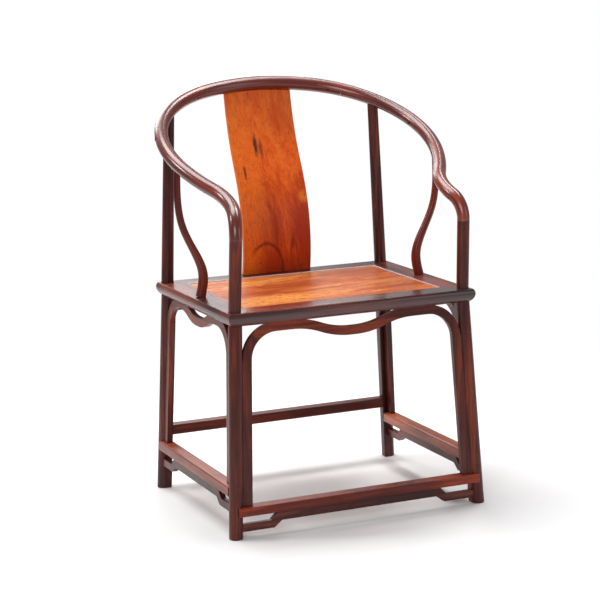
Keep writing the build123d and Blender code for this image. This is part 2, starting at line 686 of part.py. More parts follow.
# ---------------------------------------------------------------- humped pieces below them
def under_half(face, foot, shoulder, leg, toward, top, end):
    """Half of a humped piece, from the middle to a leg: high in the middle, low at the leg."""
    low = face.to_local_coords(axis_at(foot, shoulder, top - UNDER_DROP))
    side = 1 if low.X > 0 else -1
    slope_foot = low.X - side * end
    slope_head = slope_foot - side * UNDER_SLOPE
    shift = side * UNDER_SHIFT
    end_top = top - UNDER_DROP
    end_under = end_top - UNDER_END_HIGH
    bends = (slope_head, slope_head - shift, slope_foot, slope_foot - shift)
    tenon_axis = axis_at(foot, shoulder, (end_top + end_under) / 2)
    tenon_high = UNDER_END_HIGH - 2 * TENON_SHOULDER
    with BuildPart() as half:
        with BuildSketch(face.offset(UNDER_OUT - UNDER_THICK)):
            Polygon(
                (0, top),
                (slope_head, top),
                (slope_foot, end_top),
                (low.X, end_top),
                (low.X, end_under),
                (slope_foot - shift, end_under),
                (slope_head - shift, top - UNDER_HIGH),
                (0, top - UNDER_HIGH),
                align=None,
            )
            fillet(vertices().filter_by(lambda v: any(abs(v.X - b) < 1 for b in bends)), UNDER_ROUND)
        extrude(amount=UNDER_THICK)
        split(bisect_by=Plane.XY.offset(top), keep=Keep.BOTTOM)
        add(leg.part, mode=Mode.SUBTRACT)
        add(tenon(tenon_axis, toward, UNDER_TENON_THICK, tenon_high, UNDER_TENON_DEEP).part)
    return half


def under_mortise(foot, shoulder, toward, top):
    """What the end of a humped piece is let into."""
    middle = top - UNDER_DROP - UNDER_END_HIGH / 2
    high = UNDER_END_HIGH - 2 * TENON_SHOULDER
    axis = axis_at(foot, shoulder, middle)
    return mortise(axis, toward, UNDER_TENON_THICK, high, UNDER_TENON_DEEP)


FRONT_UNDER_TOP = FOOTREST_TOP - FOOTREST_THICK
SIDE_UNDER_TOP = SIDE_STRETCHER_TOP - STRETCHER_HIGH

with BuildPart() as front_under_rail:
    add(
        under_half(
            FRONT_FACE,
            FRONT_FOOT,
            FRONT_SHOULDER,
            front_leg_clear,
            TO_RIGHT,
            FRONT_UNDER_TOP,
            FRONT_UNDER_END,
        ).part
    )
    mirror(about=Plane.YZ)

with BuildPart() as side_under_rail_right:
    for foot, shoulder, leg, toward in (
        (FRONT_FOOT, FRONT_SHOULDER, front_leg_clear, TO_FRONT),
        (REAR_FOOT, REAR_SHOULDER, rear_leg_clear, TO_BACK),
    ):
        add(
            under_half(
                SIDE_FACE, foot, shoulder, leg, toward, SIDE_UNDER_TOP, SIDE_UNDER_END
            ).part
        )
side_under_rail_left = mirrored(side_under_rail_right)


# ---------------------------------------------------------------- aprons
def apron_half(face, foot, shoulder, trim, dip, flat, hump, floor):
    """Half of an arched apron, before it is cut at its mitre, with that mitre and its tongue.

    The middle of the band runs level, rises in two equal arcs to a hump under the seat
    frame, turns the corner and goes down beside the leg.
    """
    high = face.to_local_coords(shoulder)
    low = face.to_local_coords(axis_at(foot, shoulder, floor))
    side = 1 if low.X > 0 else -1
    lean = (high.X - low.X) / (high.Y - low.Y)
    level = high.Y + trim - APRON_BAND / 2
    dip_end = abs(high.X) - hump
    beside = side * (LEG_RADIUS + APRON_BAND / 2)
    strip_top = high.X + lean * (level - high.Y) - beside
    with BuildPart() as half:
        with BuildSketch(face.offset(APRON_OUT - APRON_THICK)):
            with BuildLine():
                Line((0, level - dip), (side * flat, level - dip))
                rise = TangentArc(
                    (side * flat, level - dip),
                    (side * (flat + dip_end) / 2, level - dip / 2),
                    tangent=(side, 0),
                )
                TangentArc(rise @ 1, (side * dip_end, level), tangent=rise % 1)
                run = FilletPolyline(
                    (side * dip_end, level),
                    (strip_top, level),
                    (low.X - beside, low.Y - APRON_BAND),
                    radius=APRON_CORNER_RADIUS,
                )
            trace(line_width=APRON_BAND)
            corner = run.edges().filter_by(GeomType.CIRCLE)[0]
            strip_high = (corner @ 1).Y
            Polygon(
                (low.X - beside, low.Y),
                (low.X, low.Y),
                (low.X + lean * (strip_high - low.Y), strip_high),
                (low.X - beside + lean * (strip_high - low.Y), strip_high),
                align=None,
            )
        extrude(amount=APRON_THICK)
        split(bisect_by=Plane.XY.offset(FRAME_UNDER), keep=Keep.BOTTOM)
        split(bisect_by=Plane.XY.offset(floor), keep=Keep.TOP)
    middle = face.from_local_coords(corner @ 0.5)
    ahead = face.from_local_coords(corner @ 0.5 + corner % 0.5)
    return half, Plane(origin=middle, z_dir=ahead - middle), strip_high


def apron_tongue(face, foot, shoulder, floor, strip_high, grow=0.0):
    """Tongue of an upright strip, let into a groove in the leg."""
    low = face.to_local_coords(axis_at(foot, shoulder, floor))
    high = face.to_local_coords(axis_at(foot, shoulder, strip_high))
    side = 1 if low.X > 0 else -1
    root = side * (LEG_RADIUS + TENON_ROOT)
    tip = side * (LEG_RADIUS - APRON_TONGUE_DEEP - grow)
    thick = APRON_TONGUE_THICK + 2 * grow
    middle = APRON_OUT - APRON_THICK / 2
    with BuildPart() as tongue:
        with BuildSketch(face.offset(middle - thick / 2)):
            Polygon(
                (low.X - root, low.Y - grow),
                (low.X - tip, low.Y - grow),
                (high.X - tip, high.Y + grow),
                (high.X - root, high.Y + grow),
                align=None,
            )
        extrude(amount=thick)
    return tongue


def apron_pieces(face, foot, shoulder, leg, trim, dip, flat, hump, floor):
    """Half of the top member, the upright strip, and what the leg is grooved with."""
    half, mitre, strip_high = apron_half(face, foot, shoulder, trim, dip, flat, hump, floor)
    with BuildPart() as top:
        add(half.part)
        split(bisect_by=mitre, keep=Keep.BOTTOM)
    with BuildPart() as strip:
        add(half.part)
        split(bisect_by=mitre, keep=Keep.TOP)
        add(leg.part, mode=Mode.SUBTRACT)
        add(apron_tongue(face, foot, shoulder, floor, strip_high).part)
        split(bisect_by=Plane.XY.offset(floor), keep=Keep.TOP)
    return top, strip, apron_tongue(face, foot, shoulder, floor, strip_high, FIT)


front_arch = (APRON_TRIM, FRONT_DIP, FRONT_DIP_FLAT, FRONT_HUMP, FOOTREST_TOP)
side_arch = (SIDE_APRON_TRIM, SIDE_DIP, SIDE_DIP_FLAT, SIDE_HUMP, SIDE_STRETCHER_TOP)

front_half_top, front_apron_strip_right, front_strip_groove = apron_pieces(
    FRONT_FACE, FRONT_FOOT, FRONT_SHOULDER, front_leg_clear, *front_arch
)
front_apron_strip_left = mirrored(front_apron_strip_right)
with BuildPart() as front_apron_top:
    add(front_half_top.part)
    mirror(about=Plane.YZ)

side_top_fore, side_apron_front_strip_right, side_fore_groove = apron_pieces(
    SIDE_FACE, FRONT_FOOT, FRONT_SHOULDER, front_leg_clear, *side_arch
)
side_top_aft, side_apron_rear_strip_right, side_aft_groove = apron_pieces(
    SIDE_FACE, REAR_FOOT, REAR_SHOULDER, rear_leg_clear, *side_arch
)
side_apron_front_strip_left = mirrored(side_apron_front_strip_right)
side_apron_rear_strip_left = mirrored(side_apron_rear_strip_right)
with BuildPart() as side_apron_top_right:
    add(side_top_fore.part)
    add(side_top_aft.part)
side_apron_top_left = mirrored(side_apron_top_right)

back_corner = BACK_FACE.to_local_coords(REAR_SHOULDER)
with BuildPart() as back_apron:
    with BuildSketch(BACK_FACE.offset(APRON_OUT - APRON_THICK)):
        with Locations((0, back_corner.Y + APRON_TRIM)):
            Rectangle(
                abs(back_corner.X) * 2,
                BACK_APRON_HIGH + APRON_TRIM,
                align=(Align.CENTER, Align.MAX),
            )
    extrude(amount=APRON_THICK)
    split(bisect_by=Plane.XY.offset(FRAME_UNDER), keep=Keep.BOTTOM)
    add(rear_leg_clear.part, mode=Mode.SUBTRACT)
    add(rear_leg_clear_left.part, mode=Mode.SUBTRACT)

# ---------------------------------------------------------------- legs, each one piece with its post
with BuildPart() as front_leg_right:
    add(front_leg_blank.part)
    chamfer(front_leg_right.edges().group_by(Axis.Z)[0], SOLE_CHAMFER)
    add(neck(FRONT_SHOULDER, FRONT_POST_DIAMETER).part)
    add(front_post.part)
    add(elbow_tenon().part)
    add(mortise(footrest_axis, TO_RIGHT, *footrest_tenon).part, mode=Mode.SUBTRACT)
    add(tenon(side_front_axis, TO_FRONT, *through_tenon, FIT).part, mode=Mode.SUBTRACT)
    for cut in (
        under_mortise(FRONT_FOOT, FRONT_SHOULDER, TO_RIGHT, FRONT_UNDER_TOP),
        under_mortise(FRONT_FOOT, FRONT_SHOULDER, TO_FRONT, SIDE_UNDER_TOP),
        front_strip_groove,
        side_fore_groove,
    ):
        add(cut.part, mode=Mode.SUBTRACT)
front_leg_left = mirrored(front_leg_right)

with BuildPart() as rear_leg_right:
    add(leg_blank(REAR_FOOT, REAR_SHOULDER).part)
    chamfer(rear_leg_right.edges().group_by(Axis.Z)[0], SOLE_CHAMFER)
    add(neck(REAR_SHOULDER, REAR_POST_DIAMETER).part)
    add(rear_post.part)
    add(rear_post_tenon().part)
    for cut in (
        mortise(side_rear_axis, TO_BACK, *stretcher_tenon),
        mortise(back_axis, TO_RIGHT, *stretcher_tenon),
        under_mortise(REAR_FOOT, REAR_SHOULDER, TO_BACK, SIDE_UNDER_TOP),
        side_aft_groove,
    ):
        add(cut.part, mode=Mode.SUBTRACT)
rear_leg_left = mirrored(rear_leg_right)


# ---------------------------------------------------------------- seat frame
def rail_blank(outer_edge, length):
    """Moulded rail before its mitres: X of the plane points out of the chair, Y up."""
    tongue_under = PANEL_UNDER - SEAT_HEIGHT
    with BuildPart() as blank:
        with BuildSketch(outer_edge):
            with BuildLine():
                belly = (0, -EDGE_BELLY)
                TangentArc(belly, (-EDGE_TOP_IN, 0), tangent=(0, 1))
                TangentArc(belly, (-EDGE_UNDER_IN, -RAIL_THICK), tangent=(0, -1))
                Polyline(
                    (-EDGE_UNDER_IN, -RAIL_THICK),
                    (-RAIL_WIDTH, -RAIL_THICK),
                    (-RAIL_WIDTH, 0),
                    (-EDGE_TOP_IN, 0),
                )
            make_face()
            fillet(vertices().sort_by_distance((-RAIL_WIDTH, 0))[0:1], INNER_ROUND)
            with Locations((-RAIL_WIDTH, tongue_under)):
                Rectangle(
                    TONGUE_DEEP + END_GAP,
                    TONGUE_THICK + FIT,
                    align=(Align.MIN, Align.MIN),
                    mode=Mode.SUBTRACT,
                )
        extrude(amount=length / 2, both=True)
    return blank


def corner_tenon(neck_at, grow=0.0, more=0.0):
    """Tenon of a front or back rail in the end of a side rail, inside the leg's neck."""
    side = 1 if neck_at.Y > 0 else -1
    inner_x = HALF_WIDTH - RAIL_WIDTH
    near = HALF_DEPTH - RAIL_WIDTH + CORNER_TENON_IN
    start = Vector(
        inner_x - TENON_ROOT,
        side * (near + CORNER_TENON_WIDE / 2),
        FRAME_UNDER + CORNER_TENON_UP + CORNER_TENON_THICK / 2,
    )
    long = RAIL_WIDTH - CORNER_TENON_SHORT + TENON_ROOT
    with BuildPart() as body:
        with BuildSketch(Plane(origin=start, x_dir=TO_BACK, z_dir=TO_RIGHT)):
            Rectangle(CORNER_TENON_WIDE + 2 * grow, CORNER_TENON_THICK + 2 * grow)
        extrude(amount=long + more)
    return body


def long_rail(side, neck_at, diameter):
    """Front rail where side is -1, back rail where it is 1."""
    edge = Plane(
        origin=(0, side * HALF_DEPTH, SEAT_HEIGHT),
        x_dir=(0, side, 0),
        z_dir=(side, 0, 0),
    )
    corner = (HALF_WIDTH, side * HALF_DEPTH, 0)
    far_corner = (-HALF_WIDTH, side * HALF_DEPTH, 0)
    with BuildPart() as rail:
        add(rail_blank(edge, SEAT_WIDTH).part)
        split(bisect_by=Plane(origin=corner, z_dir=(-1, side, 0)), keep=Keep.TOP)
        split(bisect_by=Plane(origin=far_corner, z_dir=(1, side, 0)), keep=Keep.TOP)
        add(corner_tenon(neck_at).part)
        mirror(corner_tenon(neck_at).part, about=Plane.YZ)
        hole = neck(neck_at - UP * RAIL_THICK, diameter, FIT)
        add(hole.part, mode=Mode.SUBTRACT)
        mirror(hole.part, about=Plane.YZ, mode=Mode.SUBTRACT)
        for batten_x in (-BATTEN_SPACING / 2, BATTEN_SPACING / 2):
            add(batten_bar(batten_x, BATTEN_TENON_DEEP + END_GAP, FIT).part, mode=Mode.SUBTRACT)
    return rail


def batten_bar(middle_x, past, grow=0.0):
    """The part of a batten that runs on into the front and back rails as tenons."""
    under = PANEL_UNDER - BATTEN_DEEP + TENON_SHOULDER
    half = HALF_DEPTH - RAIL_WIDTH + past
    with BuildPart() as bar:
        with BuildSketch(Plane.XY.offset(under - grow)):
            with Locations((middle_x, 0)):
                Rectangle(BATTEN_WIDE + 2 * grow, half * 2)
        extrude(amount=BATTEN_TENON_THICK + 2 * grow)
    return bar


def batten_dovetail(middle_x, grow=0.0):
    """Dovetail along the top of a batten, let into the underside of the panel."""
    half = BATTEN_WIDE / 2 + grow
    top = PANEL_UNDER + DOVETAIL_DEEP + grow
    with BuildPart() as dovetail:
        with BuildSketch(Plane.XZ):
            Polygon(
                (middle_x - half, PANEL_UNDER),
                (middle_x + half, PANEL_UNDER),
                (middle_x + half + DOVETAIL_SIDE, top),
                (middle_x - half - DOVETAIL_SIDE, top),
                align=None,
            )
        extrude(amount=HALF_DEPTH - RAIL_WIDTH, both=True)
    return dovetail


def batten(middle_x):
    """Cross batten that keeps the panel flat and carries it between the long rails."""
    with BuildPart() as piece:
        with BuildSketch(Plane.XY.offset(PANEL_UNDER - BATTEN_DEEP)):
            with Locations((middle_x, 0)):
                Rectangle(BATTEN_WIDE, (HALF_DEPTH - RAIL_WIDTH) * 2)
        extrude(amount=BATTEN_DEEP)
        add(batten_dovetail(middle_x).part)
        add(batten_bar(middle_x, BATTEN_TENON_DEEP).part)
    return piece


seat_batten_right = batten(BATTEN_SPACING / 2)
seat_batten_left = mirrored(seat_batten_right)
seat_rail_front = long_rail(-1, FRONT_NECK, FRONT_POST_DIAMETER)
with BuildPart() as seat_rail_back:
    add(long_rail(1, REAR_NECK, REAR_POST_DIAMETER).part)
    add(splat_mortises.part, mode=Mode.SUBTRACT)

with BuildPart() as seat_rail_right:
    add(
        rail_blank(
            Plane(origin=(HALF_WIDTH, 0, SEAT_HEIGHT), x_dir=TO_RIGHT, z_dir=TO_FRONT), SEAT_DEPTH
        ).part
    )
    split(bisect_by=Plane(origin=(HALF_WIDTH, -HALF_DEPTH, 0), z_dir=(1, 1, 0)), keep=Keep.TOP)
    split(bisect_by=Plane(origin=(HALF_WIDTH, HALF_DEPTH, 0), z_dir=(1, -1, 0)), keep=Keep.TOP)
    for cut in (
        neck(FRONT_SHOULDER, FRONT_POST_DIAMETER, FIT),
        neck(REAR_SHOULDER, REAR_POST_DIAMETER, FIT),
        corner_tenon(FRONT_NECK, FIT, END_GAP),
        corner_tenon(REAR_NECK, FIT, END_GAP),
        side_post_bottom_tenon(FIT, END_GAP),
    ):
        add(cut.part, mode=Mode.SUBTRACT)
seat_rail_left = mirrored(seat_rail_right)

panel_x = SEAT_WIDTH - 2 * RAIL_WIDTH
panel_y = SEAT_DEPTH - 2 * RAIL_WIDTH
with BuildPart() as seat_panel:
    with BuildSketch(Plane.XY.offset(PANEL_UNDER)):
        Rectangle(panel_x + 2 * TONGUE_DEEP, panel_y + 2 * TONGUE_DEEP)
    extrude(amount=TONGUE_THICK)
    with BuildSketch(Plane.XY.offset(PANEL_UNDER)):
        Rectangle(panel_x - 2 * PANEL_GAP, panel_y - 2 * PANEL_GAP)
    extrude(amount=PANEL_THICK)
    for batten_x in (-BATTEN_SPACING / 2, BATTEN_SPACING / 2):
        add(batten_dovetail(batten_x, FIT).part, mode=Mode.SUBTRACT)

# ---------------------------------------------------------------- written pieces
pieces = {
    "crest_centre": crest_centre,
    "crest_shoulder_left": crest_shoulder_left,
    "crest_shoulder_right": crest_shoulder_right,
    "crest_arm_left": crest_arm_left,
    "crest_arm_right": crest_arm_right,
    "crest_peg_back_left": crest_peg_back_left,
    "crest_peg_back_right": crest_peg_back_right,
    "crest_peg_arm_left": crest_peg_arm_left,
    "crest_peg_arm_right": crest_peg_arm_right,
    "splat": splat,
    "front_leg_left": front_leg_left,
    "front_leg_right": front_leg_right,
    "rear_leg_left": rear_leg_left,
    "rear_leg_right": rear_leg_right,
    "side_post_left": side_post_left,
    "side_post_right": side_post_right,
    "seat_rail_front": seat_rail_front,
    "seat_rail_back": seat_rail_back,
    "seat_rail_left": seat_rail_left,
    "seat_rail_right": seat_rail_right,
    "seat_panel": seat_panel,
    "seat_batten_left": seat_batten_left,
    "seat_batten_right": seat_batten_right,
    "front_apron_top": front_apron_top,
    "front_apron_strip_left": front_apron_strip_left,
    "front_apron_strip_right": front_apron_strip_right,
    "side_apron_top_left": side_apron_top_left,
    "side_apron_top_right": side_apron_top_right,
    "side_apron_front_strip_left": side_apron_front_strip_left,
    "side_apron_front_strip_right": side_apron_front_strip_right,
    "side_apron_rear_strip_left": side_apron_rear_strip_left,
    "side_apron_rear_strip_right": side_apron_rear_strip_right,
    "back_apron": back_apron,
    "footrest": footrest,
    "front_under_rail": front_under_rail,
    "side_stretcher_left": side_stretcher_left,
    "side_stretcher_right": side_stretcher_right,
    "side_under_rail_left": side_under_rail_left,
    "side_under_rail_right": side_under_rail_right,
    "back_stretcher": back_stretcher,
}

# The chair reaches from the footrest's front to the back of the crest.
plan_front = footrest_axis.Y - FOOTREST_OUT
plan_back = CREST_BACK_Y + CREST_BACK_DIAMETER / 2
to_plan_middle = Location((0, -(plan_front + plan_back) / 2, 0))
for label, piece in pieces.items():
    placed = piece.part.moved(to_plan_middle)
    placed.label = label
    export_step(placed, f"parts/{label}.step")
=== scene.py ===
import math

import bmesh
import bpy
import numpy as np
from bpy.props import FloatProperty, FloatVectorProperty, IntProperty, PointerProperty
from mathutils import Matrix, Vector


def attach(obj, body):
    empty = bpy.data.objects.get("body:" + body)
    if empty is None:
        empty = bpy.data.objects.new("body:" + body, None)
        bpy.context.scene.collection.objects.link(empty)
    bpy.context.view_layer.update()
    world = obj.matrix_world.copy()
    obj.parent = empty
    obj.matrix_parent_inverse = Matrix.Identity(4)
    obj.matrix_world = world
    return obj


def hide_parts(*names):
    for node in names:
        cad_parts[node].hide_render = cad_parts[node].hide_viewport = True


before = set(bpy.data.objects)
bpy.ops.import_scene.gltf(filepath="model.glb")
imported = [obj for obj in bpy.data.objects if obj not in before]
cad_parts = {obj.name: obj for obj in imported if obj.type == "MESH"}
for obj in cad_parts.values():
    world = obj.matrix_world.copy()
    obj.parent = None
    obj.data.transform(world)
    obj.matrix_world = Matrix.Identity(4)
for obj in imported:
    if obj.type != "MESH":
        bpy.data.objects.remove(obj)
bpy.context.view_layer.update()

bl_info = {
    "name": "Horseshoe Back Armchair",
    "version": (1, 0, 0),
    "blender": (4, 5, 0),
    "location": "View3D > Sidebar > Armchair",
    "description": "Polished hardwood for a joined armchair with a horseshoe crest rail",
    "category": "Object",
}

# Metres, +Z up, the sitter faces -Y. The sizes of the bent pieces are the frame's own.
# A run is a distance along the crest rail from the middle of the back.
PLAN_SHIFT = -0.03705  # from the middle of the seat frame to the middle of the plan
SEAT_HEIGHT = 0.500
CREST_BACK = Vector((0, 0.3085 + PLAN_SHIFT, 0.9475))
CREST_TILT = math.radians(24.95)
CREST_ARCS = (  # radius and turn of each arc, from the middle of the back to the elbow
    (0.4156, -18.4),
    (0.2835, -85.8),
    (0.4064, -14.6),
    (0.1380, 42.4),
)
REAR_POST_RUN = 0.293
SIDE_POST_RUN = 0.538
SCARF_RUNS = (0.180, 0.425)
SCARF_HALF = 0.032  # half the length of a lap
MEMBER_END = SCARF_HALF + 0.008  # a member is drawn this far past a scarf's middle, then cut
PEG_HOLE_MORE = 10  # a peg's cutter stands out of the rail by this many times the peg's own
ELBOW_RADIUS = 0.0558
FRONT_POST_DIAMETER = 0.028
FRONT_NECK = Vector((0.278, -0.213 + PLAN_SHIFT, SEAT_HEIGHT))
SIDE_POST_FOOT_X = 0.276
SIDE_POST_PATH = (  # x of each bend and its height above the seat
    (0.2683, 0.050),
    (0.2870, 0.104),
    (0.3147, 0.167),
    (0.3229, 0.229),
)
SIDE_POST_FULL_TO = 0.12  # share of its length that is as thick as the foot
SIDE_POST_SLIM_AT = 0.4  # share of its length where it has its middle thickness
RING_STEP = 0.006  # between the sections of a bent piece
ELBOW_FINER = 1.5  # the sections of the elbow are closer by this factor
ROOM = 0.5  # larger than any cut
PANEL_MIDDLE = PLAN_SHIFT
PANEL_HALF_WIDTH = 0.2380
PANEL_HALF_DEPTH = 0.1730
BEAD_HIGHLIGHT_WIDTH = 0.006  # width of the painted highlight line along the inner edge of the seat frame
SPLAT_BACK = 0.2  # about how far back the splat stands
SPOT_DEEP = 0.2  # a spot goes right through its board
LINE_DEEP = 5.0  # and a line keeps its outline all the way through
BENT_SHARP = math.radians(40)  # a bent piece shades smooth below this angle
NODE_SHARP = math.radians(32)  # and a node of the frame below this one
WELD = 1e-6  # corners of a node that are closer than this become one
TO_RIGHT = Vector((1, 0, 0))
UP = Vector((0, 0, 1))
BODY = "root"
GRAIN = "grain"  # what a bent piece calls its place across and along the grain

# The look of a board, unless its operator says otherwise
FIGURE = {
    "pith": (0.06, 0.11),  # how far off the heart of the tree lies
    "ring": 0.011,  # mean width of a growth ring
    "rings": 0.06,  # how strongly the rings show
    "wander": 0.006,  # how far the grain strays
    "streaks": 0.6,  # how strongly the streaks, flecks and veins show
    "flecks": 0.3,
    "veins": 0.2,
    "mottle": 0,  # how strongly dark clouds show across the grain
    "marks": (),  # what stands out: (centre, size, colour, depth, width of the line or 0)
    "gloss": 0.15,  # how much the bare wood reflects
    "polish": 0.3,  # share of the wax
    "rough": 0.38,  # how dull the surface is, and how much that varies
    "uneven": 0.16,
    "relief": 0.12,  # how far the fibres stand out
    "arris": 0.002,  # how far the paler edge reaches, and how pale it is: worn edges with a painted highlight along them
    "wear": 0.35,
    "tread": 0,  # how pale the top is painted: painted light from above, also standing for the rub of feet
    "bead": 0,  # how strong the painted highlight line along the inner edge of the seat frame is
}
HANDLED = {  # wood that hands have polished
    "polish": 0.9,
    "gloss": 0.3,
    "rough": 0.3,
    "relief": 0.01,
    "uneven": 0.02,
}
NOISE = {  # stretch along the grain, scale, detail, roughness and distortion
    "slow": (0.3, 8.0, 2.0, 0.55, 0.0),
    "stray": (0.5, 13.0, 3.0, 0.6, 0.0),
    "fibres": (0.03, 260.0, 4.0, 0.65, 0.0),
    "streaks": (0.07, 55.0, 3.0, 0.6, 0.3),
    "flecks": (0.2, 340.0, 3.0, 0.6, 0.5),
    "veins": (0.1, 30.0, 4.0, 0.6, 0.8),
    "line": (0.3, 60.0, 4.0, 0.7, 0.0),
    "spot": (0.12, 140.0, 5.0, 0.7, 0.0),
}
DRIFT = (9.0, 2.0)  # the same of noise that isn't stretched
PATCHY = (30.0, 4.0, 0.6)
CLOUDS = (70.0, 4.0, 0.65, 0.6)
TONE_STOPS = (0.28, 0.5, 0.74)  # where the dark, middle and light colour are reached
COAT_ROUGH = 0.22
RELIEF_HEIGHT = 0.0004
BEVEL_SAMPLES = 4
SEED_SHIFT = (0.173, 0.057, 0.731)  # how far a seed moves a board's pattern each way
DRIFT_SHIFT = 1.7  # and how far it moves the drift of its grain

WHITE = (1, 1, 1, 1)
FLOOR_REACH = 120  # from its middle to its edges
FLOOR_FADE = (0.75, 1.9)  # distances from the chair where the floor starts and ends to whiten
LIGHTS = {  # where each lamp stands, what it is aimed at, its width and its height
    "top": ((-0.6, 0.6, 3.1), (0, 0, 0.7), 2.0, 2.0),
    "left": ((-2.6, 0.9, 2.4), (0, 0, 0.8), 0.7, 0.7),
    "right": ((1.3, 0.3, 3.2), (0, 0.3, 0.7), 2.2, 0.8),
    "key": ((-2.2, -3.2, 1.9), (0, 0, 0.5), 2.0, 2.0),
    "fill": ((2.2, -2.8, 1.2), (0, 0, 0.5), 2.0, 2.0),
    "back": ((0.2, 3.0, 2.2), (0, 0, 0.85), 2.8, 2.2),
}
CAMERA_SPOT = Vector((-1.81047, -4.13591 + PLAN_SHIFT, 1.31700))
CAMERA_TURN = math.radians(-23.267)
CAMERA_RISE = math.radians(10.671)
CAMERA_ROLL = -0.0254
CAMERA_LENS = 119.12  # millimetres, like the sensor's width
CAMERA_SENSOR = 36
CAMERA_SEES = 400  # how far it sees


# ---------------------------------------------------------------- settings
def distance(name, description, default):
    return FloatProperty(
        name=name, description=description, default=default, min=0, unit="LENGTH", precision=4
    )


def srgb(*values):
    """Linear colour from the 0-255 values that a colour picker shows."""
    linear = []
    for value in values:
        share = value / 255
        linear.append(share / 12.92 if share <= 0.04045 else ((share + 0.055) / 1.055) ** 2.4)
    return tuple(linear)


def colour(name, description, *default):
    return FloatVectorProperty(
        name=name,
        description=description,
        default=srgb(*default),
        min=0,
        max=1,
        size=3,
        subtype="COLOR",
    )


def power(name, description, default):
    return FloatProperty(name=name, description=description, default=default, min=0, unit="POWER")


class ShapeSettings(bpy.types.PropertyGroup):
    """Sizes of the bent pieces and of their joints"""

    crest_back: distance("Crest at the back", "Diameter in the middle of the back", 0.0355)
    crest_side: distance("Crest at the sides", "Diameter from the rear posts on", 0.0308)
    seam: distance("Seam", "Half the width of a joint line", 0.00012)
    peg_outer: distance("Peg outside", "Width of a scarf peg on the outer face", 0.009)
    peg_inner: distance("Peg inside", "Width of a scarf peg on the inner face", 0.007)
    peg_proud: distance("Peg proud", "How far a peg stands out of the rail", 0.0003)
    post_foot: distance("Side post foot", "Diameter of a side post at the seat", 0.0225)
    post_middle: distance("Side post middle", "Diameter above the first bend", 0.017)
    post_top: distance("Side post top", "Diameter under the crest rail", 0.015)
    sides: IntProperty(
        name="Sides", description="Faces round a bent piece", default=36, min=12, max=96
    )


class WoodSettings(bpy.types.PropertyGroup):
    """Colours of the wood"""

    frame_dark: colour("Frame, dark", "Darkest grain of the frame", 44, 14, 12)
    frame_mid: colour("Frame, middle", "Main colour of the frame", 84, 28, 19)
    frame_light: colour("Frame, light", "Lightest grain of the frame", 140, 58, 30)
    crest_dark: colour("Crest, dark", "Darkest grain of the crest rail", 54, 13, 9)
    crest_mid: colour("Crest, middle", "Main colour of the crest rail", 100, 28, 16)
    crest_light: colour("Crest, light", "Lightest grain of the crest rail", 164, 64, 30)
    # Darker copy of the frame wood: painted shade. It goes on the seat frame, the rear legs and
    # the rails under the stretchers
    rail_dark: colour("Rails, dark", "Darkest grain of the seat frame", 40, 12, 11)
    rail_mid: colour("Rails, middle", "Main colour of the seat frame", 66, 20, 16)
    rail_light: colour("Rails, light", "Lightest grain of the seat frame", 124, 60, 46)
    # Paler copy of the frame wood: painted light, for the lit faces of the side stretchers
    stretcher_dark: colour("Stretchers, dark", "Darkest grain of the side stretchers", 84, 32, 22)
    stretcher_mid: colour("Stretchers, middle", "Main colour of the side stretchers", 138, 62, 38)
    stretcher_light: colour("Stretchers, light", "Lightest grain and worn edges", 184, 98, 66)
    splat_dark: colour("Splat, dark", "Darkest grain of the splat", 166, 52, 18)
    splat_mid: colour("Splat, middle", "Main colour of the splat", 220, 89, 27)
    splat_light: colour("Splat, light", "Lightest grain of the splat", 236, 122, 46)
    panel_dark: colour("Panel, dark", "Darkest grain of the panel", 146, 64, 32)
    panel_mid: colour("Panel, middle", "Main colour of the panel", 190, 101, 50)
    panel_light: colour("Panel, light", "Lightest grain of the panel", 222, 150, 78)
    stain: colour("Stain", "Mineral streaks in the splat", 58, 40, 34)
    knot: colour("Knot", "Pale knot at the splat's edge", 226, 118, 40)
    splat_ink: colour("Splat, lines", "Dark lines of the splat's figure", 96, 28, 16)
    splat_glow: colour("Splat, glow", "Orange side of the splat", 236, 118, 36)
    splat_blush: colour("Splat, blush", "Red side of the splat", 170, 48, 22)
    # Painted highlight: colour of the light line along the inner edge of the seat frame, which
    # stands for a reflection
    wax_and_highlight: colour("Wax", "Light line along the inner edge of the seat frame", 206, 184, 182)
    coat: FloatProperty(
        name="Polish", description="Weight of the wax where hands rub it", default=1, min=0, max=1
    )


class StageSettings(bpy.types.PropertyGroup):
    """Floor and lights"""

    floor: colour("Floor", "Colour of the floor", 240, 240, 240)
    top: power("Top", "Power of the wide light above", 68)
    left: power("Left", "Power of the small light above on the left", 24)
    right: power("Right", "Power of the long light above on the right", 46)
    key: power("Key", "Power of the light in front on the left", 46)
    fill: power("Fill", "Power of the light in front on the right", 12)
    back: power("Back", "Power of the wide light behind", 58)
    sky: FloatProperty(name="Sky", description="Strength of the even light", default=0.18, min=0)
    shine: FloatProperty(
        name="Shine",
        description="Share of the white backdrop that wax shows",
        default=0.15,
        min=0,
        max=1,
    )


# ---------------------------------------------------------------- shader expressions
class Value:
    """A socket of a material that takes part in Python arithmetic."""

    def __init__(self, maker, socket):
        self.maker = maker
        self.socket = socket

    def maths(self, operation, *others):
        sockets = dict(enumerate((self, *others)))
        return self.maker.node("ShaderNodeMath", {"operation": operation}, sockets)

    def __add__(self, other):
        return self.maths("ADD", other)

    def __mul__(self, other):
        return self.maths("MULTIPLY", other)

    def __sub__(self, other):
        return self.maths("SUBTRACT", other)

    def __truediv__(self, other):
        return self.maths("DIVIDE", other)

    def __pow__(self, other):
        return self.maths("POWER", other)

    def __rsub__(self, other):
        return self * -1 + other

    __radd__ = __add__
    __rmul__ = __mul__

    def between(self, low, high):
        """0 up to low, 1 from high on, and smooth in between."""
        return self.maker.node(
            "ShaderNodeMapRange",
            {"interpolation_type": "SMOOTHSTEP"},
            {"Value": self, "From Min": low, "From Max": high},
        )


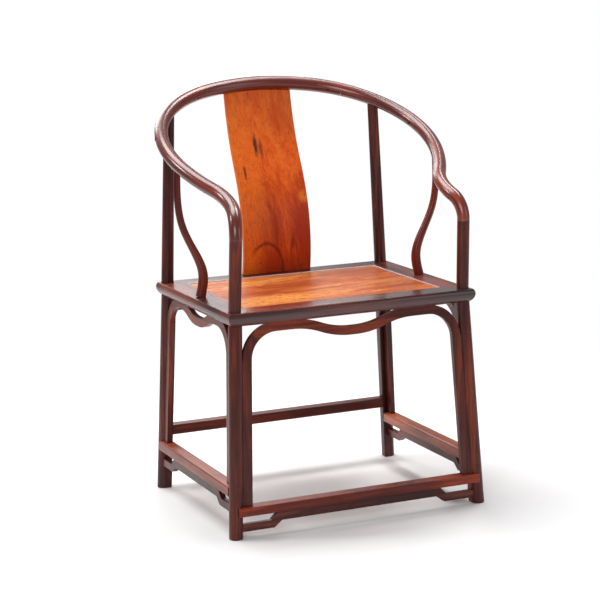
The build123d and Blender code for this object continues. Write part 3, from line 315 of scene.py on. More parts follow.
class Maker:
    """The nodes of one material, or of the world."""

    def __init__(self, owner):
        owner.use_nodes = True
        self.owner = owner
        self.tree = owner.node_tree
        self.tree.nodes.clear()

    def node(self, kind, settings=None, sockets=None, output=0):
        """Adds a node: its settings first, then the values or links of its sockets."""
        made = self.tree.nodes.new(kind)
        for name, value in (settings or {}).items():
            if name == "stops":
                self.set_stops(made.color_ramp, value)
            else:
                setattr(made, name, value)
        for name, value in (sockets or {}).items():
            if isinstance(value, Value):
                self.tree.links.new(value.socket, made.inputs[name])
            else:
                made.inputs[name].default_value = value
        return Value(self, made.outputs[output]) if made.outputs else None

    def set_stops(self, ramp, stops):
        while len(ramp.elements) < len(stops):
            ramp.elements.new(0.5)
        for element, (place, rgb) in zip(ramp.elements, stops):
            element.position = place
            element.color = (*rgb, 1)

    def vector(self, operation, first, second):
        settings = {"operation": operation}
        return self.node("ShaderNodeVectorMath", settings, {0: first, 1: second})

    def length(self, vector):
        settings = {"operation": "LENGTH"}
        return self.node("ShaderNodeVectorMath", settings, {0: vector}, "Value")

    def along(self, vector, way):
        """How far a vector reaches along a unit vector."""
        settings = {"operation": "DOT_PRODUCT"}
        return self.node("ShaderNodeVectorMath", settings, {0: vector, 1: way}, "Value")

    def point(self, x, y, z):
        return self.node("ShaderNodeCombineXYZ", None, {0: x, 1: y, 2: z})

    def noise(self, where, scale, detail, rough=0.55, twist=0.0):
        sockets = {"Vector": where, "Scale": scale, "Detail": detail}
        sockets |= {"Roughness": rough, "Distortion": twist}
        return self.node("ShaderNodeTexNoise", None, sockets)

    def mix(self, factor, first, second):
        """Two colours mixed: sockets 6 and 7 are the node's colours, output 2 its result."""
        sockets = {0: factor}
        for place, value in ((6, first), (7, second)):
            sockets[place] = value if isinstance(value, Value) else (*value, 1)
        return self.node("ShaderNodeMix", {"data_type": "RGBA"}, sockets, 2)

    def finish(self, shader, output="ShaderNodeOutputMaterial"):
        self.node(output, None, {"Surface": shader})
        return self.owner


def scaled(factor, rgb):
    return tuple(factor * channel for channel in rgb)


def beside(way):
    """Upright, or to the right where the way is nearly upright itself."""
    return UP if abs(way.z) < 0.9 else TO_RIGHT


def grain_frame(axis):
    """Unit vectors along and across the grain."""
    along = Vector(axis).normalized()
    side = along.cross(beside(along)).normalized()
    return along, side, along.cross(side)


class Board:
    """The material of one board of waxed hardwood.

    tones are the dark, middle and light colours. axis is the way the grain runs, or None for
    a bent piece, which carries its grain with it. figure has the entries of FIGURE.
    """

    def __init__(self, name, tones, axis, seed, figure):
        self.maker = maker = Maker(bpy.data.materials.new(name))
        self.dark, self.mid, self.light = tones
        self.figure = figure
        self.place = maker.node("ShaderNodeTexCoord", output="Object")
        self.face = maker.node("ShaderNodeNewGeometry", output="Normal")
        if axis:
            self.grain = grain_frame(axis)
            along, side, rise = (maker.along(self.place, way) for way in self.grain)
        else:
            bent = maker.node("ShaderNodeAttribute", {"attribute_name": GRAIN}, output="Vector")
            side, rise, along = (maker.along(bent, way) for way in Matrix.Identity(3))
        drift = maker.noise(maker.point(side, rise, along + seed * DRIFT_SHIFT), *DRIFT)
        self.shift = [seed * share for share in SEED_SHIFT]
        self.side = side + (drift - 0.5) * figure["wander"] + self.shift[0]
        self.rise = rise + self.shift[1]
        self.along = along + self.shift[2]
        self.slow = self.noise("slow")
        self.fibres = self.noise("fibres")
        self.patchy = maker.noise(self.place, *PATCHY)
        self.rough = (self.fibres * 0.7 + self.patchy - 0.85) * figure["uneven"] + figure["rough"]
        self.relief = {
            "Strength": figure["relief"],
            "Distance": RELIEF_HEIGHT,
            "Height": self.fibres * 0.5 + self.patchy * 0.5,
        }
        self.body = self.grown()

    def noise(self, name):
        """Noise that is drawn out along the grain."""
        stretch, *how = NOISE[name]
        where = self.maker.point(self.side, self.rise, self.along * stretch)
        return self.maker.noise(where, *how)

    def rings(self):
        """Growth rings about the heart of the tree, between -0.5 and 0.5."""
        pith, wander = self.figure["pith"], self.figure["wander"]
        side = self.side - (self.shift[0] + pith[0]) + (self.slow - 0.5) * wander * 5
        rise = self.rise - (self.shift[1] + pith[1]) + (self.noise("stray") - 0.5) * wander * 3
        reach = (side * side + rise * rise) ** 0.5
        return (reach / self.figure["ring"] * math.tau + self.slow * 6.0).maths("SINE") * 0.5

    def grown(self):
        """The colour as it grew, from fibres, streaks and rings."""
        tone = 0.5 + (self.fibres - 0.5) * 0.35
        tone = tone + (self.noise("streaks") - 0.5) * self.figure["streaks"]
        tone = tone + (self.slow - 0.5) * 0.8 + self.rings() * self.figure["rings"]
        stops = zip(TONE_STOPS, (self.dark, self.mid, self.light))
        return self.maker.node("ShaderNodeValToRGB", {"stops": tuple(stops)}, {"Fac": tone})

    def paint(self, share, rgb):
        self.body = self.maker.mix(share, self.body, rgb)

    def mark(self, centre, size, rgb, depth, line):
        """A spot, or a line round it, with frayed edges."""
        maker = self.maker
        gap = maker.vector("DIVIDE", maker.vector("SUBTRACT", self.place, centre), size)
        far = maker.length(gap)
        if line:
            edge = self.noise("line")
            mark = 1 - (far + (edge - 0.5) * 0.25 - 1.0).maths("ABSOLUTE").between(0.0, line)
            mark = mark * (1 - self.slow).between(0.38, 0.52)
        else:
            mark = 1 - (far + (self.noise("spot") - 0.5) * 1.3).between(0.3, 1.0)
        self.paint(mark * depth, rgb)

    def fleck(self):
        """Short dark pores and thin dark veins."""
        flecks = self.noise("flecks").between(0.58, 0.70)
        self.paint(flecks * self.figure["flecks"], scaled(0.6, self.dark))
        veins = 1 - (self.noise("veins") - 0.5).maths("ABSOLUTE").between(0.0, 0.022)
        self.paint(veins * self.figure["veins"], self.dark)

    def worn_and_highlit_edges(self):
        """Arrises painted pale and smooth, worn edges with a painted highlight along them, and
        dark end grain.
        """
        maker = self.maker
        radius = {"Radius": self.figure["arris"]}
        rounded = maker.node("ShaderNodeBevel", {"samples": BEVEL_SAMPLES}, radius)
        arris = (1 - maker.along(rounded, self.face)).between(0.02, 0.2)
        arris = arris * self.patchy.between(0.3, 0.7)
        # paler arrises: worn edges together with a painted highlight along them
        self.paint(arris * self.figure["wear"], self.light)
        self.rough = self.rough - arris * 0.12
        self.relief["Normal"] = rounded
        end = maker.along(self.face, self.grain[0]).maths("ABSOLUTE")
        self.paint(end.between(0.75, 0.95) * 0.85, scaled(0.5, self.dark))

    def mottle(self):
        """Dark clouds, slanting across the grain."""
        side, rise, along = self.side, self.rise, self.along
        cloud = self.maker.point(side * 1.4 + along * 0.45, rise, along - side * 0.3)
        cloud = self.maker.noise(cloud, *CLOUDS).between(0.5, 0.72)
        self.paint(cloud * self.figure["mottle"], self.dark)

    def bead(self):
        """Painted highlight: a bright line along the inner edge of the seat frame, broken up in
        patches.
        """
        maker = self.maker
        across, back, _ = (maker.along(self.place, way) for way in Matrix.Identity(3))
        out = (back - PANEL_MIDDLE).maths("ABSOLUTE") - PANEL_HALF_DEPTH
        out = (across.maths("ABSOLUTE") - PANEL_HALF_WIDTH).maths("MAXIMUM", out)
        bead = 1 - (out - BEAD_HIGHLIGHT_WIDTH / 2).maths("ABSOLUTE").between(BEAD_HIGHLIGHT_WIDTH / 4, BEAD_HIGHLIGHT_WIDTH / 2)
        bead = bead * self.patchy.between(0.2, 0.5) * self.figure["bead"]
        # the line is painted in a pale colour: a painted highlight
        self.paint(bead, tuple(bpy.context.scene.armchair_wood.wax_and_highlight))
        self.rough = self.rough - bead * 0.1

    def tread(self):
        """The top painted paler: painted light from above, also standing for the rub of feet."""
        # faces turned up are painted paler: painted light from above
        top = self.maker.along(self.face, UP).between(0.5, 0.95)
        rubbed_and_lit = self.patchy.between(0.25, 0.6) * self.figure["tread"]
        self.paint(top * rubbed_and_lit, scaled(1.25, self.light))

    def finish(self):
        maker = self.maker
        coat = bpy.context.scene.armchair_wood.coat
        sockets = {
            "Base Color": self.body,
            "Roughness": self.rough,
            "Normal": maker.node("ShaderNodeBump", None, self.relief),
            "Specular IOR Level": self.figure["gloss"],
            "Coat Weight": coat * self.figure["polish"],
            "Coat Roughness": COAT_ROUGH,
        }
        return maker.finish(maker.node("ShaderNodeBsdfPrincipled", None, sockets))


def wood(name, tones, axis, seed, **changes):
    """Material for a board. What is not among the changes is as FIGURE has it."""
    figure = FIGURE | changes
    board = Board(name, tones, axis, seed, figure)
    for mark in figure["marks"]:
        board.mark(*mark)
    board.fleck()
    if axis:
        board.worn_and_highlit_edges()
    if figure["mottle"]:
        board.mottle()
    if figure["bead"]:
        board.bead()
    if figure["tread"]:
        board.tread()
    return board.finish()


# ---------------------------------------------------------------- meshes
def square_to(heading):
    """Unit vector in the plane of the crest rail, square to a heading."""
    return np.array((-math.sin(heading), math.cos(heading)))


def crest_points():
    """Middle line of the right half of the crest rail, and the direction square to its plane.

    The line is a list of (run, point, direction).
    """
    normal = Vector((0, -math.sin(CREST_TILT), math.cos(CREST_TILT)))
    back = normal.cross(TO_RIGHT)
    spot, heading, run, line = np.zeros(2), 0.0, 0.0, []
    for radius, degrees in CREST_ARCS:
        turn = math.radians(degrees)
        length = radius * abs(turn)
        radius = math.copysign(radius, turn)
        centre = spot + radius * square_to(heading)
        steps = max(2, round(length / RING_STEP))
        for step in range(steps):
            angle = heading + turn * step / steps
            line.append((run + length * step / steps, angle, centre, radius))
        heading += turn
        run += length
        spot = centre - radius * square_to(heading)
        line.append((run, heading, centre, radius))
    points = []
    for at, angle, centre, radius in line:
        flat = centre - radius * square_to(angle)
        point = CREST_BACK + TO_RIGHT * flat[0] + back * flat[1]
        points.append((at, point, TO_RIGHT * math.cos(angle) + back * math.sin(angle)))
    return points, normal


CREST_LINE, CREST_NORMAL = crest_points()
CREST_RUN = CREST_LINE[-1][0]


def crest_at(run):
    """Point and direction of the right half of the crest rail at a run."""
    runs = [at for at, _, _ in CREST_LINE]
    after = min(max(int(np.searchsorted(runs, run)), 1), len(runs) - 1)
    low, high = CREST_LINE[after - 1], CREST_LINE[after]
    span = high[0] - low[0]
    share = (run - low[0]) / span if span else 0
    return low[1].lerp(high[1], share), low[2].lerp(high[2], share).normalized()


def elbow_points():
    """The elbow's line: (share, point, direction) from the arm down to the front post."""
    _, start, ahead = CREST_LINE[-1]
    across = ahead.cross(FRONT_NECK - start).normalized()
    down = across.cross(ahead)
    to_neck = FRONT_NECK - start
    x, y = to_neck.dot(ahead), to_neck.dot(down) - ELBOW_RADIUS
    post = math.sqrt(x * x + y * y - ELBOW_RADIUS**2)
    turn = math.atan2(y, x) + math.atan2(ELBOW_RADIUS, post)
    steps = round(ELBOW_RADIUS * turn / RING_STEP * ELBOW_FINER)
    points = []
    for step in range(1, steps + 1):
        angle = turn * step / steps
        point = start + (ahead * math.sin(angle) + down * (1 - math.cos(angle))) * ELBOW_RADIUS
        points.append((step / steps, point, ahead * math.cos(angle) + down * math.sin(angle)))
    return points


def tube(name, stations, sides):
    """Closed tube through stations of (point, direction, radius)."""
    mesh = bmesh.new()
    grain = mesh.verts.layers.float_vector.new(GRAIN)
    side, last, run = None, stations[0][0], 0
    rings = []
    for point, ahead, radius in stations:
        run += (point - last).length
        last = point
        side = ahead.cross(beside(ahead)) if side is None else side
        side = (side - ahead * side.dot(ahead)).normalized()
        other = ahead.cross(side)
        ring = []
        for step in range(sides):
            angle = math.tau * step / sides
            x, y = radius * math.cos(angle), radius * math.sin(angle)
            corner = mesh.verts.new(point + side * x + other * y)
            corner[grain] = (x, y, run)
            ring.append(corner)
        rings.append(ring)
    wrap(mesh, rings)
    mesh.faces.new(rings[0][::-1])
    mesh.faces.new(rings[-1])
    return new_object(name, mesh)


def wrap(mesh, rings):
    """Faces between each ring of corners and the next."""
    for low, high in zip(rings, rings[1:]):
        for step in range(len(low)):
            after = (step + 1) % len(low)
            mesh.faces.new((low[step], low[after], high[after], high[step]))


def block(name, outlines):
    """Solid between two outlines with the same number of corners."""
    mesh = bmesh.new()
    ends = [[mesh.verts.new(corner) for corner in outline] for outline in outlines]
    for end in ends:
        mesh.faces.new(end)
    wrap(mesh, ends)
    return new_object(name, mesh)


def prism(name, outline, spot, x_dir, y_dir, half):
    """Flat outline in the plane of x_dir and y_dir, as thick as two halves."""
    across = x_dir.cross(y_dir).normalized()
    outlines = [
        [spot + x_dir * x + y_dir * y + across * offset for x, y in outline]
        for offset in (-half, half)
    ]
    return block(name, outlines)


def new_object(name, mesh):
    """Object with this mesh, which is used up."""
    bmesh.ops.recalc_face_normals(mesh, faces=mesh.faces)
    data = bpy.data.meshes.new(name)
    mesh.to_mesh(data)
    mesh.free()
    made = bpy.data.objects.new(name, data)
    bpy.context.scene.collection.objects.link(made)
    return made


def carve(piece, cutter, operation):
    """Cuts a piece with another one, which is used up."""
    modifier = piece.modifiers.new("cut", "BOOLEAN")
    modifier.operation = operation
    modifier.solver = "EXACT"
    modifier.object = cutter
    bpy.context.view_layer.update()
    cut = bpy.data.meshes.new_from_object(
        piece.evaluated_get(bpy.context.evaluated_depsgraph_get())
    )
    piece.modifiers.clear()
    piece.data = cut
    bpy.data.objects.remove(cutter)


def mirrored(piece, name):
    """The same piece on the other side of the chair."""
    mesh = bmesh.new()
    mesh.from_mesh(piece.data)
    bmesh.ops.transform(mesh, matrix=Matrix.Diagonal((-1, 1, 1, 1)), verts=mesh.verts)
    bmesh.ops.reverse_faces(mesh, faces=mesh.faces)
    return new_object(name, mesh)


def dress(piece, material, slot, *nodes):
    """Gives a new piece its wood, its body and the frame's nodes that it stands for."""
    piece.data.shade_smooth()
    piece.data.set_sharp_from_angle(angle=BENT_SHARP)
    piece.data.materials.clear()
    piece.data.materials.append(material)
    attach(piece, BODY)
    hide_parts(*nodes)


# ---------------------------------------------------------------- wood for the frame's nodes
def soft_edges():
    """Geometry nodes that shade a node smooth, apart from its arrises."""
    if "soft_edges" in bpy.data.node_groups:
        return bpy.data.node_groups["soft_edges"]
    group = bpy.data.node_groups.new("soft_edges", "GeometryNodeTree")
    group.interface.new_socket("Geometry", in_out="INPUT", socket_type="NodeSocketGeometry")
    group.interface.new_socket("Geometry", in_out="OUTPUT", socket_type="NodeSocketGeometry")
    add, link = group.nodes.new, group.links.new
    start, end = add("NodeGroupInput"), add("NodeGroupOutput")
    weld = add("GeometryNodeMergeByDistance")
    weld.inputs["Distance"].default_value = WELD
    normals = add("GeometryNodeRemoveAttribute")
    normals.inputs["Name"].default_value = "custom_normal"
    faces = add("GeometryNodeSetShadeSmooth")
    faces.domain = "FACE"
    angle = add("GeometryNodeInputMeshEdgeAngle")
    sharp = add("FunctionNodeCompare")
    sharp.inputs["B"].default_value = NODE_SHARP
    edges = add("GeometryNodeSetShadeSmooth")
    edges.domain = "EDGE"
    edges.inputs["Shade Smooth"].default_value = False
    link(start.outputs[0], weld.inputs["Geometry"])
    link(weld.outputs[0], normals.inputs["Geometry"])
    link(normals.outputs[0], faces.inputs["Geometry"])
    link(faces.outputs[0], edges.inputs["Geometry"])
    link(angle.outputs["Unsigned Angle"], sharp.inputs["A"])
    link(sharp.outputs[0], edges.inputs["Selection"])
    link(edges.outputs[0], end.inputs[0])
    return group


def dress_node(name, material):
    """Gives a node of the frame its wood and smooth shading."""
    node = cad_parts[name]
    if not node.material_slots:
        node.data.materials.append(material)
    for slot in node.material_slots:
        slot.material = material
    modifier = node.modifiers.new("soft_edges", "NODES")
    modifier.node_group = soft_edges()


def tones(kind):
    """Dark, middle and light colour of one kind of wood."""
    settings = bpy.context.scene.armchair_wood
    return [tuple(getattr(settings, f"{kind}_{tone}")) for tone in ("dark", "mid", "light")]


def dress_nodes(names, kind, axis, first_seed, **figure):
    """Gives each node its own board, cut from one kind of wood along an axis."""
    for step, name in enumerate(names):
        seed = first_seed + step
        dress_node(name, wood(f"{name}_wood", tones(kind), axis, seed, **figure))


# ---------------------------------------------------------------- operators
class ARMCHAIR_OT_crest(bpy.types.Operator):
    """Build the five members of the crest rail and the pegs of their scarf joints"""

    bl_idname = "armchair.crest"
    bl_label = "Crest rail"

    def radius(self, run):
        share = min(abs(run) / REAR_POST_RUN, 1)
        shape = self.shape
        return (shape.crest_back + (shape.crest_side - shape.crest_back) * share) / 2

    def stations(self, low, high):
        """Sections of the rail between two runs, which are negative on the left."""
        steps = round((high - low) / RING_STEP)
        found = []
        for step in range(steps + 1):
            run = low + (high - low) * step / steps
            point, ahead = crest_at(abs(run))
            if run < 0:
                point = Vector((-point.x, point.y, point.z))
                ahead = Vector((ahead.x, -ahead.y, -ahead.z))
            found.append((point, ahead, self.radius(run)))
        return found

    def beyond(self, run, grow):
        """Everything from a scarf onwards: the upper lap and all that follows it."""
        low, high = -SCARF_HALF - grow, SCARF_HALF - grow
        step = ((low, -grow), (high, -grow), (high, -ROOM))
        outline = (*step, (ROOM, -ROOM), (ROOM, ROOM), (low, ROOM))
        spot, ahead = crest_at(run)
        return prism("cutter", outline, spot, ahead, CREST_NORMAL, ROOM)

    def peg(self, name, run, grow=0):
        """Tapered square peg through a scarf, or with grow the cutter of its hole."""
        shape = self.shape
        spot, ahead = crest_at(run)
        outward = CREST_NORMAL.cross(ahead)
        reach = self.radius(run) + shape.peg_proud * (PEG_HOLE_MORE if grow else 1)
        taper = (shape.peg_outer - shape.peg_inner) / (2 * self.radius(run))
        middle = (shape.peg_outer + shape.peg_inner) / 2
        outlines = []
        for way in (-1, 1):
            half = (middle + way * taper * reach) / 2 + grow
            end = spot + outward * (way * reach)
            corners = ((-half, -half), (half, -half), (half, half), (-half, half))
            outlines.append([end + ahead * x + CREST_NORMAL * y for x, y in corners])
        return block(name, outlines)

    def drill(self, piece, run):
        carve(piece, self.peg("cutter", run, self.shape.seam), "DIFFERENCE")

    def centre(self, back):
        """The middle member: its right half is cut, and the left half mirrors it."""
        line = self.stations(-back - MEMBER_END, back + MEMBER_END)
        piece = tube("crest_centre_rail", line, self.shape.sides)
        carve(piece, self.beyond(back, self.shape.seam), "DIFFERENCE")
        self.drill(piece, back)
        carve(piece, mirrored(piece, "flip"), "INTERSECT")
        return piece

    def shoulder(self, back, arm):
        line = self.stations(back - MEMBER_END, arm + MEMBER_END)
        piece = tube("crest_shoulder_rail_right", line, self.shape.sides)
        carve(piece, self.beyond(back, -self.shape.seam), "INTERSECT")
        carve(piece, self.beyond(arm, self.shape.seam), "DIFFERENCE")
        self.drill(piece, back)
        self.drill(piece, arm)
        return piece

    def hand(self, arm):
        """The arm with its elbow, which thins down to the front post."""
        line = self.stations(arm - MEMBER_END, CREST_RUN)
        for place, point, ahead in elbow_points():
            size = self.shape.crest_side * (1 - place) + FRONT_POST_DIAMETER * place
            line.append((point, ahead, size / 2))
        piece = tube("crest_arm_rail_right", line, self.shape.sides)
        carve(piece, self.beyond(arm, -self.shape.seam), "INTERSECT")
        self.drill(piece, arm)
        return piece

    def execute(self, context):
        self.shape = context.scene.armchair_shape
        back, arm = SCARF_RUNS
        centre, shoulder, hand = self.centre(back), self.shoulder(back, arm), self.hand(arm)
        board = wood("crest_centre_wood", tones("crest"), None, 4, **HANDLED)
        dress(centre, board, "frame_wood", "crest_centre")
        for side, shoulder_seed, arm_seed in (("right", 6, 10), ("left", 4, 8)):
            if side == "left":
                shoulder = mirrored(shoulder, "crest_shoulder_rail_left")
                hand = mirrored(hand, "crest_arm_rail_left")
            members = ((shoulder, "crest_shoulder", shoulder_seed), (hand, "crest_arm", arm_seed))
            for piece, name, seed in members:
                node = f"{name}_{side}"
                board = wood(f"{node}_wood", tones("crest"), None, seed, **HANDLED)
                dress(piece, board, "frame_wood", node)
            for run, name in ((back, "crest_peg_back"), (arm, "crest_peg_arm")):
                peg = self.peg(f"{name}_wedge_right", run)
                if side == "left":
                    right, peg = peg, mirrored(peg, f"{name}_wedge_left")
                    bpy.data.objects.remove(right)
                board = wood(f"{name}_{side}_wood", tones("frame"), (1, 0.4, 0), 20 + run)
                dress(peg, board, "peg_wood", f"{name}_{side}")
        return {"FINISHED"}


class ARMCHAIR_OT_side_posts(bpy.types.Operator):
    """Build the two serpentine posts between the arms and the seat"""

    bl_idname = "armchair.side_posts"
    bl_label = "Side posts"

    def line(self):
        """Natural spline through the post's foot, its bends and its head.

        Gives (share of the length, point, direction) of each section.
        """
        head, _ = crest_at(SIDE_POST_RUN)
        flat = [(SIDE_POST_FOOT_X, 0.0), *SIDE_POST_PATH, (head.x, head.z - SEAT_HEIGHT)]
        knots = np.array(flat)
        gaps = np.linalg.norm(np.diff(knots, axis=0), axis=1)
        at = np.concatenate(([0], np.cumsum(gaps)))
        count = len(knots)
        system = np.zeros((count, count))
        right = np.zeros((count, 2))
        system[0, 0] = system[-1, -1] = 1
        for i in range(1, count - 1):
            before, after = gaps[i - 1], gaps[i]
            system[i, i - 1 : i + 2] = before, 2 * (before + after), after
            slope = (knots[i + 1] - knots[i]) / after - (knots[i] - knots[i - 1]) / before
            right[i] = 6 * slope
        bend = np.linalg.solve(system, right)
        found = []
        for i in range(count - 1):
            span = gaps[i]
            steps = round(span / RING_STEP)
            for step in range(steps + (i == count - 2)):
                t = span * step / steps
                a, b = knots[i], bend[i]
                c = (knots[i + 1] - a) / span - span * (2 * b + bend[i + 1]) / 6
                d = (bend[i + 1] - b) / (6 * span)
                spot = a + c * t + b * t * t / 2 + d * t**3
                ahead = c + b * t + 3 * d * t * t
                point = Vector((spot[0], head.y, SEAT_HEIGHT + spot[1]))
                direction = Vector((ahead[0], 0, ahead[1])).normalized()
                found.append(((at[i] + t) / at[-1], point, direction))
        return found

    def execute(self, context):
        shape = context.scene.armchair_shape
        stations = []
        for place, point, ahead in self.line():
            foot = (SIDE_POST_SLIM_AT - place) / (SIDE_POST_SLIM_AT - SIDE_POST_FULL_TO)
            foot = min(max(foot, 0), 1)
            top = max((place - SIDE_POST_SLIM_AT) / (1 - SIDE_POST_SLIM_AT), 0)
            size = shape.post_middle + (shape.post_foot - shape.post_middle) * foot
            size -= (shape.post_middle - shape.post_top) * top
            stations.append((point, ahead, size / 2))
        post = tube("side_post_rail_right", stations, shape.sides)
        box = ((-ROOM, 0), (ROOM, 0), (ROOM, 3 * ROOM), (-ROOM, 3 * ROOM))
        spot = Vector((SIDE_POST_FOOT_X, stations[0][0].y, SEAT_HEIGHT))
        carve(post, prism("cutter", box, spot, TO_RIGHT, UP, ROOM), "INTERSECT")
        other = mirrored(post, "side_post_rail_left")
        for piece, side, seed in ((post, "right", 36), (other, "left", 35)):
            node = f"side_post_{side}"
            board = wood(f"{node}_wood", tones("crest"), None, seed, relief=0.03)
            dress(piece, board, "frame_wood", node)
        return {"FINISHED"}


class ARMCHAIR_OT_splat(bpy.types.Operator):
    """Give the splat its board, with the dark marks in it"""

    bl_idname = "armchair.splat"
    bl_label = "Splat"

    def execute(self, context):
        settings = context.scene.armchair_wood
        stain, knot, ink, glow, blush = (
            tuple(getattr(settings, name))
            for name in ("stain", "knot", "splat_ink", "splat_glow", "splat_blush")
        )
        figure = (  # x, height, half the width and height, colour, depth, width of the line or 0
            (-0.070, 0.66, 0.075, 0.30, glow, 0.55, 0),
            (0.075, 0.60, 0.060, 0.17, blush, 0.85, 0),
            (0.020, 0.51, 0.100, 0.060, blush, 0.75, 0),
            (0.050, 0.86, 0.060, 0.070, blush, 0.45, 0),
            (-0.024, 0.803, 0.0070, 0.036, stain, 0.95, 0),
            (-0.011, 0.792, 0.0070, 0.034, stain, 0.6, 0),
            (-0.063, 0.742, 0.0045, 0.024, stain, 0.8, 0),
            (0.075, 0.678, 0.0180, 0.021, knot, 1.0, 0),
            (0.079, 0.681, 0.0030, 0.005, ink, 0.6, 0),
            (0.040, 0.573, 0.0080, 0.026, ink, 0.6, 0),
            (-0.044, 0.526, 0.0030, 0.004, stain, 0.95, 0),
            (-0.030, 0.505, 0.045, 0.068, ink, 0.7, 0.12),
            (0.042, 0.850, 0.022, 0.055, ink, 0.45, 0.14),
        )
        marks = []
        for x, height, wide, high, rgb, depth, line in figure:
            size = (wide, LINE_DEEP if line else SPOT_DEEP, high)
            marks.append(((x, SPLAT_BACK, height), size, rgb, depth, line))
        board = wood(
            "splat_board_wood",
            tones("splat"),
            (-0.12, 0, 1),
            41,
            pith=(0.03, 0.05),
            ring=0.02,
            rings=0.05,
            wander=0.02,
            streaks=0.45,
            veins=0.25,
            flecks=0.75,
            gloss=0.1,
            polish=0.2,
            mottle=0.25,
            marks=marks,
        )
        dress_node("splat", board)
        return {"FINISHED"}


class ARMCHAIR_OT_legs(bpy.types.Operator):
    """Give the four legs their wood"""

    bl_idname = "armchair.legs"
    bl_label = "Legs and posts"

    def execute(self, context):
        # The rear legs take the darker rail wood: painted shade
        for place, kind, seed in (("front", "frame", 51), ("rear", "rail", 55)):
            names = [f"{place}_leg_{side}" for side in ("left", "right")]
            dress_nodes(names, kind, (0.02, 0.01, 1), seed)
        return {"FINISHED"}


class ARMCHAIR_OT_seat(bpy.types.Operator):
    """Give the seat frame, its panel and its battens their wood"""

    bl_idname = "armchair.seat"
    bl_label = "Seat"

    def execute(self, context):
        # The seat rails take the darker rail wood: painted shade on edges that face down. The line
        # along the inner edge is a painted highlight
        edge = {"rough": 0.3, "arris": 0.003, "wear": 0.7}
        dress_nodes(("seat_rail_front",), "rail", (1, 0, 0), 61, gloss=0.25, polish=1, **edge)
        dress_nodes(("seat_rail_back",), "rail", (1, 0, 0), 62, bead=0.7, **edge)
        dress_nodes(("seat_rail_left", "seat_rail_right"), "rail", (0, 1, 0), 64, bead=0.3, **edge)
        dress_nodes(("seat_batten_left", "seat_batten_right"), "frame", (0, 1, 0), 67)
        settings = context.scene.armchair_wood
        gold, brown = tuple(settings.panel_light), tuple(settings.panel_dark)
        clouds = (  # x, y, half the width and length, colour, depth
            (-0.14, -0.15, 0.20, 0.07, gold, 0.75),
            (-0.02, 0.02, 0.16, 0.05, brown, 0.45),
            (0.15, 0.10, 0.14, 0.06, brown, 0.8),
            (0.17, -0.14, 0.12, 0.05, brown, 0.35),
            (0.24, 0.00, 0.16, 0.25, brown, 0.5),
        )
        marks = [
            ((x, y, SEAT_HEIGHT), (wide, long, SPOT_DEEP), rgb, depth, 0)
            for x, y, wide, long, rgb, depth in clouds
        ]
        dress_nodes(
            ("seat_panel",),
            "panel",
            (1, 0.12, 0),
            71,
            pith=(0.02, 0.03),
            ring=0.02,
            rings=0.1,
            streaks=0.8,
            wander=0.03,
            flecks=0.7,
            veins=0.4,
            gloss=0.05,
            polish=0.05,
            relief=0.3,
            mottle=0.9,
            marks=marks,
        )
        return {"FINISHED"}


class ARMCHAIR_OT_aprons(bpy.types.Operator):
    """Give the arched aprons under the seat their wood"""

    bl_idname = "armchair.aprons"
    bl_label = "Aprons"

    def execute(self, context):
        sides = ("left", "right")
        dress_nodes(("front_apron_top", "back_apron"), "frame", (1, 0, 0), 81)
        dress_nodes([f"side_apron_top_{side}" for side in sides], "frame", (0, 1, 0), 84)
        strips = [
            f"{place}_strip_{side}"
            for place in ("front_apron", "side_apron_front", "side_apron_rear")
            for side in sides
        ]
        dress_nodes(strips, "frame", (0, 0, 1), 87)
        return {"FINISHED"}


class ARMCHAIR_OT_stretchers(bpy.types.Operator):
    """Give the footrest, the stretchers and the rails below them their wood"""

    bl_idname = "armchair.stretchers"
    bl_label = "Footrest and stretchers"

    def execute(self, context):
        sides = ("left", "right")
        # Paler arrises and tops are worn and also painted light: a painted highlight along the
        # edges and painted light from above
        rubbed_and_lit = {"arris": 0.003, "wear": 0.8, "tread": 0.35}
        trodden_and_lit = {"arris": 0.004, "wear": 1.0, "tread": 0.6}
        # The rails below take the darker rail wood: painted shade
        dress_nodes(("front_under_rail",), "rail", (1, 0, 0), 95)
        dress_nodes(("footrest",), "crest", (1, 0, 0), 96, **trodden_and_lit)
        dress_nodes(("back_stretcher",), "frame", (1, 0, 0), 97)
        names = [f"side_stretcher_{side}" for side in sides]
        # The side stretchers take the paler stretcher wood: painted light
        dress_nodes(names, "stretcher", (0, 1, 0), 99, **rubbed_and_lit)
        # These rails take the darker rail wood too: painted shade
        dress_nodes([f"side_under_rail_{side}" for side in sides], "rail", (0, 1, 0), 102)
        return {"FINISHED"}


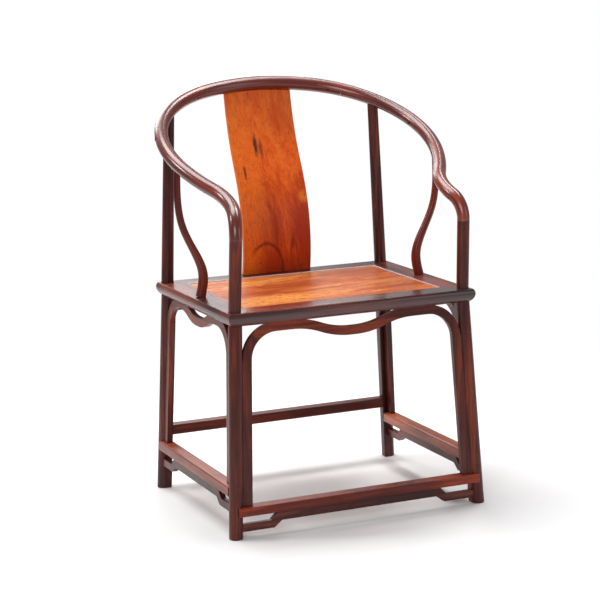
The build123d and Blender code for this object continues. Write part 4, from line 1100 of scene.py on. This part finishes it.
class ARMCHAIR_OT_stage(bpy.types.Operator):
    """Build the floor, the lights and the camera"""

    bl_idname = "armchair.stage"
    bl_label = "Stage"

    def light(self, name, watts, spot, aim, width, height):
        data = bpy.data.lights.new(name, "AREA")
        data.shape = "ELLIPSE"
        data.size = width
        data.size_y = height
        data.energy = watts
        lamp = bpy.data.objects.new(name, data)
        lamp.visible_camera = False
        lamp.location = spot
        lamp.rotation_euler = (Vector(aim) - Vector(spot)).to_track_quat("-Z", "Y").to_euler()
        bpy.context.scene.collection.objects.link(lamp)

    def backdrop(self, maker, shine):
        """Share of white that a ray meets: all of it when seen, some as a reflection."""
        camera_ray, clear_ray, glossy_ray = (
            maker.node("ShaderNodeLightPath", output=f"Is {kind} Ray")
            for kind in ("Camera", "Transmission", "Glossy")
        )
        return camera_ray.maths("MAXIMUM", clear_ray).maths("MAXIMUM", glossy_ray * shine)

    def floor(self, stage):
        """Pale plain floor that turns white further out."""
        maker = Maker(bpy.data.materials.new("floor"))
        place = maker.node("ShaderNodeTexCoord", output="Object")
        white = maker.length(place).between(*FLOOR_FADE) * self.backdrop(maker, stage.shine)
        plain = maker.node("ShaderNodeBsdfDiffuse", None, {"Color": (*stage.floor, 1)})
        glow = maker.node("ShaderNodeEmission", None, {"Color": WHITE, "Strength": 1.0})
        mixed = maker.node("ShaderNodeMixShader", None, {0: white, 1: plain, 2: glow})
        mesh = bmesh.new()
        bmesh.ops.create_grid(mesh, x_segments=1, y_segments=1, size=FLOOR_REACH)
        floor = new_object("floor", mesh)
        floor.data.materials.append(maker.finish(mixed))

    def world(self, stage):
        """Even light from all sides, with the white backdrop behind it."""
        world = bpy.data.worlds.new("sky")
        maker = Maker(world)
        soft = maker.node("ShaderNodeBackground", None, {"Color": WHITE, "Strength": stage.sky})
        white = maker.node("ShaderNodeBackground", None, {"Color": WHITE})
        seen = self.backdrop(maker, stage.shine)
        mixed = maker.node("ShaderNodeMixShader", None, {0: seen, 1: soft, 2: white})
        maker.finish(mixed, "ShaderNodeOutputWorld")
        return world

    def camera(self):
        data = bpy.data.cameras.new("camera")
        data.sensor_width = CAMERA_SENSOR
        data.lens = CAMERA_LENS
        data.clip_end = CAMERA_SEES
        camera = bpy.data.objects.new("camera", data)
        turn, rise, roll = CAMERA_TURN, CAMERA_RISE, CAMERA_ROLL
        level = math.cos(rise)
        back = Vector((math.sin(turn) * level, -math.cos(turn) * level, math.sin(rise)))
        right = Vector((math.cos(turn), math.sin(turn), 0))
        up = back.cross(right)
        x_axis = right * math.cos(roll) + up * math.sin(roll)
        y_axis = up * math.cos(roll) - right * math.sin(roll)
        pose = Matrix((x_axis, y_axis, back)).transposed().to_4x4()
        pose.translation = CAMERA_SPOT
        camera.matrix_world = pose
        bpy.context.scene.collection.objects.link(camera)
        return camera

    def execute(self, context):
        scene = context.scene
        stage = scene.armchair_stage
        self.floor(stage)
        scene.world = self.world(stage)
        for name, placing in LIGHTS.items():
            self.light(f"{name}_light", getattr(stage, name), *placing)
        scene.camera = self.camera()
        scene.view_settings.view_transform = "Standard"
        return {"FINISHED"}


# ---------------------------------------------------------------- add-on
OPERATORS = (
    ARMCHAIR_OT_stage,
    ARMCHAIR_OT_crest,
    ARMCHAIR_OT_side_posts,
    ARMCHAIR_OT_splat,
    ARMCHAIR_OT_legs,
    ARMCHAIR_OT_seat,
    ARMCHAIR_OT_aprons,
    ARMCHAIR_OT_stretchers,
)


class ARMCHAIR_PT_sidebar(bpy.types.Panel):
    """Lists the pieces of the chair and what they are made to"""

    bl_idname = "ARMCHAIR_PT_sidebar"
    bl_label = "Armchair"
    bl_space_type = "VIEW_3D"
    bl_region_type = "UI"
    bl_category = "Armchair"

    def draw(self, context):
        for settings in ("armchair_shape", "armchair_wood", "armchair_stage"):
            group = getattr(context.scene, settings)
            for name in group.__annotations__:
                self.layout.prop(group, name)
        for operator in OPERATORS:
            self.layout.operator(operator.bl_idname)


GROUPS = {
    "armchair_shape": ShapeSettings,
    "armchair_wood": WoodSettings,
    "armchair_stage": StageSettings,
}


def register():
    for name, group in GROUPS.items():
        bpy.utils.register_class(group)
        setattr(bpy.types.Scene, name, PointerProperty(type=group))
    for operator in OPERATORS:
        bpy.utils.register_class(operator)
    bpy.utils.register_class(ARMCHAIR_PT_sidebar)


def unregister():
    bpy.utils.unregister_class(ARMCHAIR_PT_sidebar)
    for operator in reversed(OPERATORS):
        bpy.utils.unregister_class(operator)
    for name, group in GROUPS.items():
        delattr(bpy.types.Scene, name)
        bpy.utils.unregister_class(group)


def main():
    register()
    for operator in OPERATORS:
        area, name = operator.bl_idname.split(".")
        getattr(getattr(bpy.ops, area), name)()


if __name__ == "__main__":
    main()
